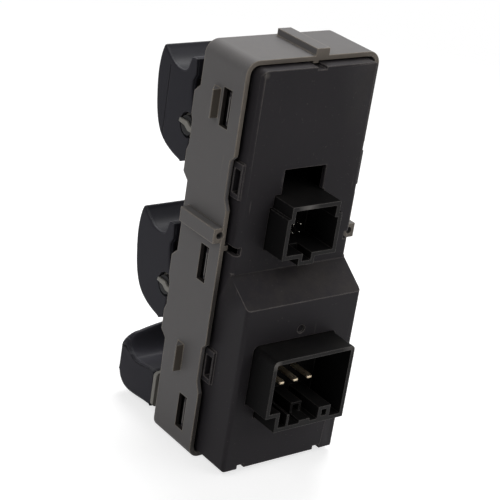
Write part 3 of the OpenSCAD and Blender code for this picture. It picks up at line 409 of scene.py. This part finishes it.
def mouldedPlastic(name, look):
    material, tree, shader = newMaterial(name)
    grain = useGroup(tree, mouldGrain, -700, 100, "Grain Scale", look["grainScale"])
    rub = useGroup(tree, edgeWearSheen, -700, -200, "Radius", look["wearSheenRadius"])
    scuff = put(tree, "ShaderNodeGroup", -700, -400, node_tree=scuffMarks)
    tone = blendColour(tree, grain.outputs["Cloud"], look["colour"], look["pale"], -400, 300)
    speck = math2(tree, "MULTIPLY", grain.outputs["Speck"], look["speckAmount"], -400, 100)
    tone = blendColour(tree, speck, tone, look["speckColour"], -200, 300)
    marks = math2(tree, "MULTIPLY", scuff.outputs["Mask"], look["scuffAmount"], -400, -400)
    tone = blendColour(tree, marks, tone, look["rub"], 0, 300)
    if "dust" in look:
        dusty = put(tree, "ShaderNodeGroup", -700, -600, node_tree=settledDust)
        film = math2(tree, "MULTIPLY", dusty.outputs["Mask"], look["dustAmount"], -400, -600)
        tone = blendColour(tree, film, tone, look["dust"], 100, 500)
    if "low" in look:
        where = put(tree, "ShaderNodeTexCoord", -1100, 900)
        parts = put(tree, "ShaderNodeSeparateXYZ", -900, 900)
        tree.links.new(where.outputs["Object"], parts.inputs["Vector"])
        lower = spread(tree, parts.outputs["Z"], look["low"][1], look["low"][0], -600, 900)
        tone = blendColour(tree, lower, tone, look["lowColour"], -200, 900)
    for centre, inner, outer, colour in look.get("marks", []):
        where = put(tree, "ShaderNodeTexCoord", -1100, 1200)
        away = put(tree, "ShaderNodeVectorMath", -900, 1200, operation="DISTANCE")
        tree.links.new(where.outputs["Object"], away.inputs[0])
        away.inputs[1].default_value = [c * mm for c in centre]
        patch = spread(tree, away.outputs["Value"], outer * mm, inner * mm, -600, 1200)
        patch = math2(tree, "MULTIPLY", patch, grain.outputs["Cloud"], -400, 1200)
        tone = blendColour(tree, patch, tone, colour, -200, 1200)
    # Turning edges take the rub colour: edge wear together with a painted highlight
    wornSheen = math2(tree, "MULTIPLY", rub.outputs["Mask"], look["wearSheenAmount"], -400, -200)
    tone = blendColour(tree, wornSheen, tone, look["rub"], 200, 300)
    tree.links.new(tone, shader.inputs["Base Color"])
    rough = spread(tree, grain.outputs["Cloud"], 0, 1, -200, 0, *look["rough"])
    smoother = math2(tree, "MULTIPLY", wornSheen, plasticSurface["wornSmoother"], -200, -200)
    tree.links.new(math2(tree, "SUBTRACT", rough, smoother, 0, 0), shader.inputs["Roughness"])
    shader.inputs["Specular IOR Level"].default_value = look["specular"]
    bump = put(tree, "ShaderNodeBump", 300, -300)
    bump.inputs["Strength"].default_value = look["grain"]
    bump.inputs["Distance"].default_value = plasticSurface["grainDepth"]
    tree.links.new(grain.outputs["Height"], bump.inputs["Height"])
    tree.links.new(rub.outputs["Normal"], bump.inputs["Normal"])
    tree.links.new(bump.outputs["Normal"], shader.inputs["Normal"])
    return material


# Metals
metals = {
    "terminalBrass": {
        "colour": (0.74, 0.63, 0.47), "dull": (0.52, 0.42, 0.29), "rough": (0.24, 0.40),
        "brush": (700, 90, 700), "metallic": 0.8,
    },
    "pinTin": {
        "colour": (0.78, 0.74, 0.66), "dull": (0.60, 0.55, 0.46), "rough": (0.18, 0.32),
        "brush": (900, 120, 900), "metallic": 1,
    },
    "canAluminium": {
        "colour": (0.60, 0.60, 0.62), "dull": (0.44, 0.44, 0.46), "rough": (0.25, 0.40),
        "brush": (90, 900, 90), "metallic": 1,
    },
}
drawnLook = {
    "lineScale": 3, "lineDetail": 3, "lines": (0.3, 0.7), "stainScale": 350, "stain": (0.42, 0.66),
    "lineStrength": 0.06, "lineDepth": 0.00004,
}


def drawnMetal(name, look):
    material, tree, shader = newMaterial(name)
    where = put(tree, "ShaderNodeTexCoord", -900, 0)
    along = put(tree, "ShaderNodeMapping", -700, 0)
    along.inputs["Scale"].default_value = look["brush"]
    lines = put(tree, "ShaderNodeTexNoise", -500, 0)
    lines.inputs["Scale"].default_value = drawnLook["lineScale"]
    lines.inputs["Detail"].default_value = drawnLook["lineDetail"]
    stain = put(tree, "ShaderNodeTexNoise", -500, -260)
    stain.inputs["Scale"].default_value = drawnLook["stainScale"]
    tree.links.new(where.outputs["Object"], along.inputs["Vector"])
    tree.links.new(along.outputs["Vector"], lines.inputs["Vector"])
    tree.links.new(where.outputs["Object"], stain.inputs["Vector"])
    dull = spread(tree, stain.outputs["Fac"], *drawnLook["stain"], -300, -260)
    tone = blendColour(tree, dull, look["colour"], look["dull"], 0, 200)
    tree.links.new(tone, shader.inputs["Base Color"])
    shader.inputs["Metallic"].default_value = look["metallic"]
    rough = spread(tree, lines.outputs["Fac"], *drawnLook["lines"], -300, 0, *look["rough"])
    tree.links.new(rough, shader.inputs["Roughness"])
    bump = put(tree, "ShaderNodeBump", 300, -300)
    bump.inputs["Strength"].default_value = drawnLook["lineStrength"]
    bump.inputs["Distance"].default_value = drawnLook["lineDepth"]
    tree.links.new(lines.outputs["Fac"], bump.inputs["Height"])
    tree.links.new(bump.outputs["Normal"], shader.inputs["Normal"])
    return material


finishes = {name: mouldedPlastic(name, look) for name, look in plastics.items()}
finishes.update({name: drawnMetal(name, look) for name, look in metals.items()})
slotFinish = {
    "frame_plastic": "framePlastic", "cover_plastic": "coverPlastic", "deck_plastic": "deckPlastic",
    "socket_plastic": "socketPlastic", "cap_plastic": "capPlastic", "core_plastic": "corePlastic",
    "board_laminate": "boardLaminate", "terminal_brass": "terminalBrass", "pin_steel": "pinTin",
    "chip_plastic": "chipPlastic", "can_aluminium": "canAluminium", "lamp_resin": "lampResin",
}
nodeSlot = {part["node"]: part["material_slot"] for part in frame["record"]["subparts"]}
bodyOf = {n: body for body, members in frame["record"]["behaviour"]["bodies"].items() for n in members}
print("stage: materials made,", len(finishes))


# Dressed copies of CAD nodes, with rounded corners. Edges beside one shorter than finest stay sharp.
# Between the heights of wideZ an edge gets the whole width, and elsewhere a share of it. Sizes are in mm,
# turn is in degrees and flat in radians.
dressing = {
    "segments": 2, "turn": 28, "weld": 0.002, "finest": 0, "share": 1, "wideZ": (1000, 1000),
    "flat": 0.004, "broadWeight": 60,
}
softness = {
    "frame": {"width": 0.14}, "screw_bosses": {"width": 0.12},
    "rear_cover": {"width": 0.34, "finest": 0.2, "share": 0.5, "wideZ": (53.0, 61.2)},
    "small_socket": {"width": 0.10}, "large_socket": {"width": 0.12},
    "large_blades": {"width": 0.12, "segments": 3}, "small_pins": {"width": 0.04},
    "core_lockout": {"width": 0.15}, "pivot_clips": {"width": 0.08}, "switch_deck": {"width": 0.12},
}


def meshObject(bm, name):
    mesh = bpy.data.meshes.new(name)
    bm.to_mesh(mesh)
    bm.free()
    obj = bpy.data.objects.new(name, mesh)
    scene.collection.objects.link(obj)
    return obj


def finish(obj, node):
    slot = nodeSlot[node]
    obj.data.materials.clear()
    obj.data.materials.append(finishes[slotFinish[slot]])
    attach(obj, bodyOf[node])


def steadyShading(obj):
    # Broad faces keep their own normal beside the rounded ones
    weigh = obj.modifiers.new("broadFaces", "WEIGHTED_NORMAL")
    weigh.keep_sharp = True
    weigh.weight = dressing["broadWeight"]


def dress(node, ownLook):
    look = {**dressing, **ownLook}
    low, high = (z * mm for z in look["wideZ"])
    bm = bmesh.new()
    bm.from_mesh(nodes[node].data)
    bmesh.ops.remove_doubles(bm, verts=bm.verts, dist=look["weld"] * mm)
    bmesh.ops.dissolve_limit(
        bm, angle_limit=look["flat"], verts=bm.verts, edges=bm.edges, use_dissolve_boundaries=False,
    )
    weight = bm.edges.layers.float.new("bevel_weight_edge")
    fine = {v for e in bm.edges if e.calc_length() < look["finest"] * mm for v in e.verts}
    for edge in bm.edges:
        edge.smooth = True
        if not edge.is_manifold or edge.calc_face_angle() < math.radians(look["turn"]):
            continue
        if fine.isdisjoint(edge.verts):
            onSlope = all(low < v.co.z < high and v.co.y > 0 for v in edge.verts)
            edge[weight] = 1 if onSlope else look["share"]
        else:
            edge.smooth = False
    for face in bm.faces:
        face.smooth = True
    words = node.split("_")
    obj = meshObject(bm, words[0] + "".join(w.capitalize() for w in words[1:]) + "Shell")
    bevel = obj.modifiers.new("softCorners", "BEVEL")
    bevel.width = look["width"] * mm
    bevel.segments = look["segments"]
    bevel.limit_method = "WEIGHT"
    bevel.use_clamp_overlap = False
    bevel.miter_outer = "MITER_SHARP"
    steadyShading(obj)
    finish(obj, node)
    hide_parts(node)
    return obj


shells = {node: dress(node, look) for node, look in softness.items()}
print("stage: dressed,", len(shells))


def paintFaces(obj, finishName, test):
    obj.data.materials.append(finishes[finishName])
    index = len(obj.data.materials) - 1
    for face in obj.data.polygons:
        if test(face.center, face.normal):
            face.material_index = index


# Painted highlight on the frame's back rim and on the rib ends, painted shade on the frame's catch faces
# and slot walls, and paler socket mouths
wall = {
    "inner": 21.7 * mm, "outer": 23.2 * mm, "catchY": -0.15 * mm, "near": 0.05 * mm,
    "slotFront": 0.9 * mm, "slotBack": 4.9 * mm, "upperEnd": 100 * mm,
    "facing": 0.9, "across": 0.3,
}
mouths = {"small_socket": 21.25 * mm, "large_socket": 31.95 * mm}
mouthNear = 0.15 * mm

backRim = max(v.co.y for v in shells["frame"].data.vertices if v.co.z > wall["upperEnd"])
paintFaces(
    shells["frame"], "rimHighlight",
    lambda c, n: n.y > wall["facing"] and abs(c.y - backRim) < wall["near"],
)
# Painted shade on the lugs' catch faces
paintFaces(
    shells["frame"], "lugShade",
    lambda c, n: n.y > wall["facing"] and abs(c.x) > wall["outer"]
    and abs(c.y - wall["catchY"]) < wall["near"],
)
# Painted shade on the walls inside the slots
paintFaces(
    shells["frame"], "slotShade",
    lambda c, n: abs(n.x) < wall["across"] and wall["inner"] < abs(c.x) < wall["outer"]
    and wall["slotFront"] < c.y < wall["slotBack"],
)
# The rib ends take the same painted highlight as the back rim
paintFaces(shells["screw_bosses"], "rimHighlight", lambda c, n: n.y > wall["facing"])
for node, mouth in mouths.items():
    paintFaces(
        shells[node], "mouthPlastic",
        lambda c, n: n.y > wall["facing"] and abs(c.y - mouth) < mouthNear,
    )


# Rocker caps: a smooth outline drawn across the cap, with a rounded rim on both ends. Points are in mm
# around the pivot, as depth and height.
capShape = {
    "line": [
        (1.7, -2.4), (0.9, -10.4), (-1.5, -11.6), (-2.9, -11.4), (-5.7, -10.8), (-8.4, -9.9), (-10.8, -8.7),
        (-12.8, -7.1), (-14.3, -5.1), (-15.4, -2.8), (-16.3, 0), (-17, 3.5), (-17.5, 7), (-17.7, 10.5),
        (-17.5, 13.5), (-17, 16.2), (-16.2, 18.2), (-15.4, 18.7), (-14.2, 17.7), (-11.2, 15.7),
        (-8.4, 14.7), (-5.6, 14.7), (-4, 15.6), (-3.3, 17.4), (-2.6, 19.2), (-1.2, 19.7), (0.1, 19.5),
        (0.7, 15.2), (-0.4, 13), (-0.3, 11.1), (1.4, 3.8),
    ],
    "sharp": {
        (1.7, -2.4), (0.9, -10.4), (-1.5, -11.6), (0.1, 19.5), (0.7, 15.2), (-0.4, 13), (-0.3, 11.1),
        (1.4, 3.8),
    },
    "hollow": [
        (3, -9), (-1.4, -9.7), (-5.4, -9), (-8.8, -7.8), (-11.3, -6.1), (-13, -4), (-14.2, -1.2),
        (-15.3, 3.4), (-16, 9.4), (-15.8, 13.6), (-14.8, 15.4), (-11.6, 13.8), (-8.6, 13), (-5, 13),
        (-2.2, 14), (3, 13),
    ],
    "half": 10, "wall": 1.6, "rim": 0.85, "steps": 4, "hollowSteps": 3, "past": 1,
    "trunnionHole": 3.8, "trunnionSides": 64, "slotLow": -3.2, "slotHigh": 3.4, "slotDeep": 5,
    "seamY": -11.54, "seamLow": -6.8, "seamHigh": 14.2, "seamWide": 0.26, "seamDeep": 0.3,
    "dish": {"finish": "dishShade", "front": -16, "back": -3, "floor": 14},
}
lockShape = {
    "line": [
        (0.6, -6.2), (-4, -6.7), (-8, -7.2), (-11.5, -7.5), (-13.5, -7.3), (-15.2, -6.8), (-16.6, -5.8),
        (-17.6, -4.5), (-18.2, -3), (-18.4, -1.4), (-18.4, 6.5), (-18.1, 9.2), (-17.5, 11.2), (-16.6, 12.4),
        (-15.8, 12.8), (-15.1, 12.3), (-14.3, 9.8), (-13.4, 7.6), (-12.2, 5.9), (-10.8, 4.9), (-9.2, 4.6),
        (-6, 5.1), (0.6, 6.5),
    ],
    "sharp": {(0.6, -6.2), (0.6, 6.5)},
    "hollow": [
        (3, -4.2), (-4.3, -5.2), (-11.3, -5.9), (-14.2, -5.2), (-16, -3.2), (-16.7, -0.8), (-16.7, 5),
        (-16.2, 7.4), (-14.8, 5.6), (-12.6, 3.5), (-9.6, 2.8), (-6, 3.4), (0, 4.6), (3, 4.7),
    ],
    "half": 20.8, "wall": 1.6, "rim": 1.0, "steps": 4, "hollowSteps": 3,
    "archRadius": 62, "lipRise": 12.8, "lipFoot": 5.2, "lipCorner": 5, "lipLeast": 0.2, "cuts": 12,
    "dish": {"finish": "lipLight", "front": -15.9, "back": -1, "floor": 4},
}
rimShape = {"rings": 5, "share": 0.85, "evenings": 6, "least": 1e-6}  # share of the room it may take
capSurface = {"crease": 38, "side": 0.5, "up": 0.15}
pivotY = -16.15
pivots = {
    "cap_upper_right": (10.8, 94.2), "cap_upper_left": (-10.8, 94.2), "cap_lower_right": (10.8, 44.2),
    "cap_lower_left": (-10.8, 44.2), "cap_lockout": (0, 9.6),
}


def curvePoint(a, b, c, d, t):
    # Catmull-Rom, between b and c
    square, cube = 2 * a - 5 * b + 4 * c - d, 3 * b - a - 3 * c + d
    return 0.5 * (2 * b + (c - a) * t + square * t ** 2 + cube * t ** 3)


def smoothLine(points, sharp, steps):
    # A curve through the points, straight between two sharp ones, that stays within their front and top
    line = []
    count = len(points)
    for i, here in enumerate(points):
        ahead = points[(i + 1) % count]
        before = here if here in sharp else points[i - 1]
        after = ahead if ahead in sharp else points[(i + 2) % count]
        straight = here in sharp and ahead in sharp
        for k in range(1 if straight else steps):
            line.append(tuple(curvePoint(*four, k / steps) for four in zip(before, here, ahead, after)))
    front, top = min(y for y, z in points), max(z for y, z in points)
    return [(max(y, front), min(z, top)) for y, z in line]


def slab(bm, line, half):
    # The outline as a face, drawn out across the cap
    face = bm.faces.new([bm.verts.new((-half, y, z)) for y, z in line])
    drawn = bmesh.ops.extrude_face_region(bm, geom=[face], use_keep_orig=True)
    far = [g for g in drawn["geom"] if isinstance(g, bmesh.types.BMVert)]
    bmesh.ops.translate(bm, verts=far, vec=(2 * half, 0, 0))
    bmesh.ops.recalc_face_normals(bm, faces=bm.faces)


def insetLimits(line, rim):
    # Inward direction at each point, and how far the rim can close in there without crossing itself
    points = [Vector(p) for p in line]
    count = len(points)
    turning = sum(a.cross(b) for a, b in zip(points, points[1:] + points[:1]))
    inward = []
    for i in range(count):
        along = (points[(i + 1) % count] - points[i - 1]).normalized()
        inward.append(Vector((-along.y, along.x)) * (1 if turning > 0 else -1))
    reach = []
    for here, way in zip(points, inward):
        gaps = [p - here for p in points if (p - here).dot(way) > rimShape["least"]]
        room = [gap.length_squared / (2 * gap.dot(way)) for gap in gaps]
        reach.append(min(rim, rimShape["share"] * min(room)))
    for _ in range(rimShape["evenings"]):
        reach = [min(r, (reach[i - 1] + 2 * r + reach[(i + 1) % count]) / 4) for i, r in enumerate(reach)]
    return points, inward, reach


def roundedSlab(bm, line, half, rim):
    # The same, with each end closing in along a quarter circle
    points, inward, reach = insetLimits(line, rim)
    slot = bm.verts.layers.int.new("slot")
    rings = rimShape["rings"]
    turns = [math.radians(90 * k / rings) for k in range(rings + 1)]
    steps = [(-half + rim * (1 - math.sin(a)), 1 - math.cos(a)) for a in reversed(turns)]
    steps += [(half - rim * (1 - math.sin(a)), 1 - math.cos(a)) for a in turns]
    start = [p + n * r for p, n, r in zip(points, inward, reach)]
    face = bm.faces.new([bm.verts.new((-half, p.x, p.y)) for p in start])
    for i, vert in enumerate(face.verts):
        vert[slot] = i
    for x, closed in steps[1:]:
        drawn = bmesh.ops.extrude_face_region(bm, geom=[face], use_keep_orig=(x == steps[1][0]))
        face = next(g for g in drawn["geom"] if isinstance(g, bmesh.types.BMFace))
        for vert in face.verts:
            i = vert[slot]
            spot = points[i] + inward[i] * reach[i] * closed
            vert.co = (x, spot.x, spot.y)
    bmesh.ops.recalc_face_normals(bm, faces=bm.faces)


def newObject(bm, name, place):
    # From mm around a pivot to its place in metres
    bmesh.ops.scale(bm, verts=bm.verts, vec=(mm, mm, mm))
    bmesh.ops.translate(bm, verts=bm.verts, vec=Vector((place[0], pivotY, place[1])) * mm)
    return meshObject(bm, name)


def hollowCutter(shape, place):
    bm = bmesh.new()
    ends = {shape["hollow"][0], shape["hollow"][-1]}
    slab(bm, smoothLine(shape["hollow"], ends, shape["hollowSteps"]), shape["half"] - shape["wall"])
    return newObject(bm, "hollowCutter", place)


def trunnionCutter(shape, place):
    bm = bmesh.new()
    radius = shape["trunnionHole"]
    bmesh.ops.create_cone(
        bm, cap_ends=True, segments=shape["trunnionSides"], radius1=radius, radius2=radius,
        depth=2 * (shape["half"] + shape["past"]), matrix=Matrix.Rotation(math.radians(90), 4, "Y"),
    )
    return newObject(bm, "trunnionCutter", place)


def boxCutter(name, low, high, place):
    bm = bmesh.new()
    bmesh.ops.create_cube(bm, size=1)
    size = Vector(high) - Vector(low)
    bmesh.ops.scale(bm, verts=bm.verts, vec=size)
    bmesh.ops.translate(bm, verts=bm.verts, vec=(Vector(high) + Vector(low)) / 2)
    return newObject(bm, name, place)


def cutAway(obj, cutters):
    for cutter in cutters:
        cut = obj.modifiers.new("cut", "BOOLEAN")
        cut.operation = "DIFFERENCE"
        cut.solver = "EXACT"
        cut.object = cutter
    bpy.context.view_layer.update()
    done = obj.evaluated_get(bpy.context.evaluated_depsgraph_get())
    mesh = bpy.data.meshes.new_from_object(done)
    obj.modifiers.clear()
    obj.data = mesh
    for cutter in cutters:
        bpy.data.objects.remove(cutter)


def finishCap(obj, node, dish):
    # The finger dish, between the lip and the back edge, has a finish of its own: a copy of the cap plastic
    # with painted shade on the rocker caps and painted light on the lock-out cap
    obj.data.shade_smooth()
    obj.data.set_sharp_from_angle(angle=math.radians(capSurface["crease"]))
    steadyShading(obj)
    finish(obj, node)
    floor = (pivots[node][1] + dish["floor"]) * mm
    front, back = (pivotY + dish["front"]) * mm, (pivotY + dish["back"]) * mm
    paintFaces(
        obj, dish["finish"],
        lambda c, n: abs(n.x) < capSurface["side"] and n.z > capSurface["up"]
        and c.z > floor and front < c.y < back,
    )
    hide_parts(node)


def rockerCap(node, seam):
    shape, place = capShape, pivots[node]
    half, past = shape["half"], shape["past"]
    bm = bmesh.new()
    roundedSlab(bm, smoothLine(shape["line"], shape["sharp"], shape["steps"]), half, shape["rim"])
    cap = newObject(bm, node.split("_")[1] + node.split("_")[2].capitalize() + "Cap", place)
    slotStart = (-half - past, 0, shape["slotLow"])
    slotEnd = (half + past, shape["slotDeep"], shape["slotHigh"])
    cutters = [
        hollowCutter(shape, place), trunnionCutter(shape, place),
        boxCutter("slotCutter", slotStart, slotEnd, place),
    ]
    if seam:
        wide, deep = shape["seamWide"] / 2, shape["seamDeep"]
        for side in (-1, 1):
            inner, outer = sorted((side * (half - deep), side * (half + past)))
            cutters.append(boxCutter(
                "seamCutter", (inner, shape["seamY"] - wide, shape["seamLow"]),
                (outer, shape["seamY"] + wide, shape["seamHigh"]), place,
            ))
    cutAway(cap, cutters)
    finishCap(cap, node, shape["dish"])


def archTop(x):
    # Height of the lip across the lock-out cap
    shape = lockShape
    inner = shape["half"] - shape["lipCorner"]
    fall = shape["archRadius"] - math.sqrt(shape["archRadius"] ** 2 - min(abs(x), inner) ** 2)
    beyond = max(abs(x) - inner, 0)
    corner = math.sqrt(max(shape["lipCorner"] ** 2 - beyond ** 2, 0))
    return shape["lipRise"] - fall - shape["lipCorner"] + corner


def lockoutCap(node):
    shape, place = lockShape, pivots[node]
    bm = bmesh.new()
    roundedSlab(bm, smoothLine(shape["line"], shape["sharp"], shape["steps"]), shape["half"], shape["rim"])
    span = shape["half"] - shape["rim"]
    for k in range(1, 2 * shape["cuts"]):
        x = span * math.sin(math.radians(90 * (k / shape["cuts"] - 1)))
        everything = bm.verts[:] + bm.edges[:] + bm.faces[:]
        bmesh.ops.bisect_plane(bm, geom=everything, plane_co=(x, 0, 0), plane_no=(1, 0, 0))
    foot = shape["lipFoot"]
    for vert in bm.verts:
        if vert.co.z > foot:
            rise = (vert.co.z - foot) * max(archTop(vert.co.x) - foot, shape["lipLeast"])
            vert.co.z = foot + rise / (shape["lipRise"] - foot)
    cap = newObject(bm, "lockoutCap", place)
    cutAway(cap, [hollowCutter(shape, place)])
    finishCap(cap, node, shape["dish"])


# Painted highlight: a pale strip on each snap hook's edge, inside the frame's slots, stands for the light
# the edge catches; hooks are further apart than the height apart
hookGlint = {
    "x": 22.78, "y": 3.72, "wide": 0.26, "deep": 0.2, "length": 7.0, "round": 0.05,
    "near": 0.1, "apart": 11,
}


def hookGlints():
    bm = bmesh.new()
    count = 0
    for side in (-1, 1):
        reach = (hookGlint["x"] - hookGlint["near"]) * mm
        tips = [v.co.z for v in nodes["rear_cover"].data.vertices if side * v.co.x > reach]
        levels = []
        for z in sorted(tips):
            if not levels or z - levels[-1][0] > hookGlint["apart"] * mm:
                levels.append([z])
            levels[-1].append(z)
        for level in levels:
            middle = (level[0] + level[-1]) / 2 / mm
            made = bmesh.ops.create_cube(bm, size=1)["verts"]
            bmesh.ops.scale(bm, verts=made, vec=(hookGlint["deep"], hookGlint["wide"], hookGlint["length"]))
            place = (side * hookGlint["x"], hookGlint["y"] - pivotY, middle)  # newObject adds pivotY again
            bmesh.ops.translate(bm, verts=made, vec=place)
        count += len(levels)
    bmesh.ops.bevel(
        bm, geom=bm.edges[:], offset=hookGlint["round"], segments=2, profile=0.5,
        affect="EDGES", material=-1,
    )
    edges = newObject(bm, "hookGlints", (0, 0))
    edges.data.materials.append(finishes["hookGlintPaint"])
    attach(edges, "housing")
    return count


hookCount = hookGlints()
print("stage: hook edges,", hookCount)

for node in ("cap_upper_right", "cap_upper_left", "cap_lower_right", "cap_lower_left"):
    rockerCap(node, seam="upper" in node)
lockoutCap("cap_lockout")
for node, obj in nodes.items():
    if node not in softness and node not in pivots:
        obj.data.materials.clear()
        obj.data.materials.append(finishes[slotFinish[nodeSlot[node]]])
print("stage: caps made")


# Floor, world and lamps
studio = {
    "floorSize": 6.0, "floorColour": (0.62, 0.62, 0.62), "floorGlow": 0.70,
    "fadeFrom": 0.16, "fadeTo": 0.45, "worldFill": 0.10, "worldColour": (1, 1, 1), "aim": (0, 0, 0.06),
    "lamps": [
        ("keyLamp", (-0.30, -0.36, 0.86), 0.50, 5.4),
        ("sideLamp", (0.70, 0.12, 0.68), 0.60, 2.0),
        ("backLamp", (-0.50, 0.72, 0.66), 0.80, 3.6),
    ],
}


def raySeen(tree, x, y):
    # Camera rays, and what shows in metal or glass
    path = put(tree, "ShaderNodeLightPath", x, y)
    seen = math2(tree, "MAXIMUM", path.outputs["Is Camera Ray"], path.outputs["Is Glossy Ray"], x + 200, y)
    return math2(tree, "MAXIMUM", seen, path.outputs["Is Transmission Ray"], x + 400, y)


def addFloor():
    bm = bmesh.new()
    bmesh.ops.create_grid(bm, x_segments=1, y_segments=1, size=studio["floorSize"] / 2)
    floor = meshObject(bm, "paleFloor")
    material = bpy.data.materials.new("paleFloor")
    material.use_nodes = True
    tree = material.node_tree
    tree.nodes.clear()
    out = put(tree, "ShaderNodeOutputMaterial", 600, 0)
    seen = raySeen(tree, -600, 300)
    matte = put(tree, "ShaderNodeBsdfDiffuse", -200, -100)
    matte.inputs["Color"].default_value = (*studio["floorColour"], 1)
    glow = put(tree, "ShaderNodeEmission", -200, -300)
    tree.links.new(math2(tree, "MULTIPLY", seen, studio["floorGlow"], 0, 300), glow.inputs["Strength"])
    both = put(tree, "ShaderNodeAddShader", 300, 0)
    tree.links.new(matte.outputs["BSDF"], both.inputs[0])
    tree.links.new(glow.outputs["Emission"], both.inputs[1])
    where = put(tree, "ShaderNodeTexCoord", -600, 600)
    away = put(tree, "ShaderNodeVectorMath", -400, 600, operation="LENGTH")
    tree.links.new(where.outputs["Object"], away.inputs[0])
    far = spread(tree, away.outputs["Value"], studio["fadeFrom"], studio["fadeTo"], -200, 600)
    white = put(tree, "ShaderNodeEmission", 300, -300)
    whole = put(tree, "ShaderNodeMixShader", 500, 0)
    tree.links.new(math2(tree, "MULTIPLY", far, seen, 300, 500), whole.inputs["Fac"])
    tree.links.new(both.outputs["Shader"], whole.inputs[1])
    tree.links.new(white.outputs["Emission"], whole.inputs[2])
    tree.links.new(whole.outputs["Shader"], out.inputs["Surface"])
    floor.data.materials.append(material)


def addWorld():
    world = bpy.data.worlds.new("studioWorld")
    scene.world = world
    world.use_nodes = True
    tree = world.node_tree
    tree.nodes.clear()
    out = put(tree, "ShaderNodeOutputWorld", 600, 0)
    seen = raySeen(tree, -600, 200)
    fill = put(tree, "ShaderNodeBackground", 0, -100)
    fill.inputs["Strength"].default_value = studio["worldFill"]
    white = put(tree, "ShaderNodeBackground", 0, -250)
    for light in (fill, white):
        light.inputs["Color"].default_value = (*studio["worldColour"], 1)
    mix = put(tree, "ShaderNodeMixShader", 300, 0)
    tree.links.new(seen, mix.inputs["Fac"])
    tree.links.new(fill.outputs["Background"], mix.inputs[1])
    tree.links.new(white.outputs["Background"], mix.inputs[2])
    tree.links.new(mix.outputs["Shader"], out.inputs["Surface"])


def addLamps():
    for name, place, size, power in studio["lamps"]:
        data = bpy.data.lights.new(name, "AREA")
        data.shape = "SQUARE"
        data.size = size
        data.energy = power
        lamp = bpy.data.objects.new(name, data)
        lamp.location = place
        lamp.rotation_euler = (Vector(studio["aim"]) - Vector(place)).to_track_quat("-Z", "Y").to_euler()
        scene.collection.objects.link(lamp)


addFloor()
addWorld()
addLamps()
scene.view_settings.view_transform = "Standard"
print("stage: studio ready")
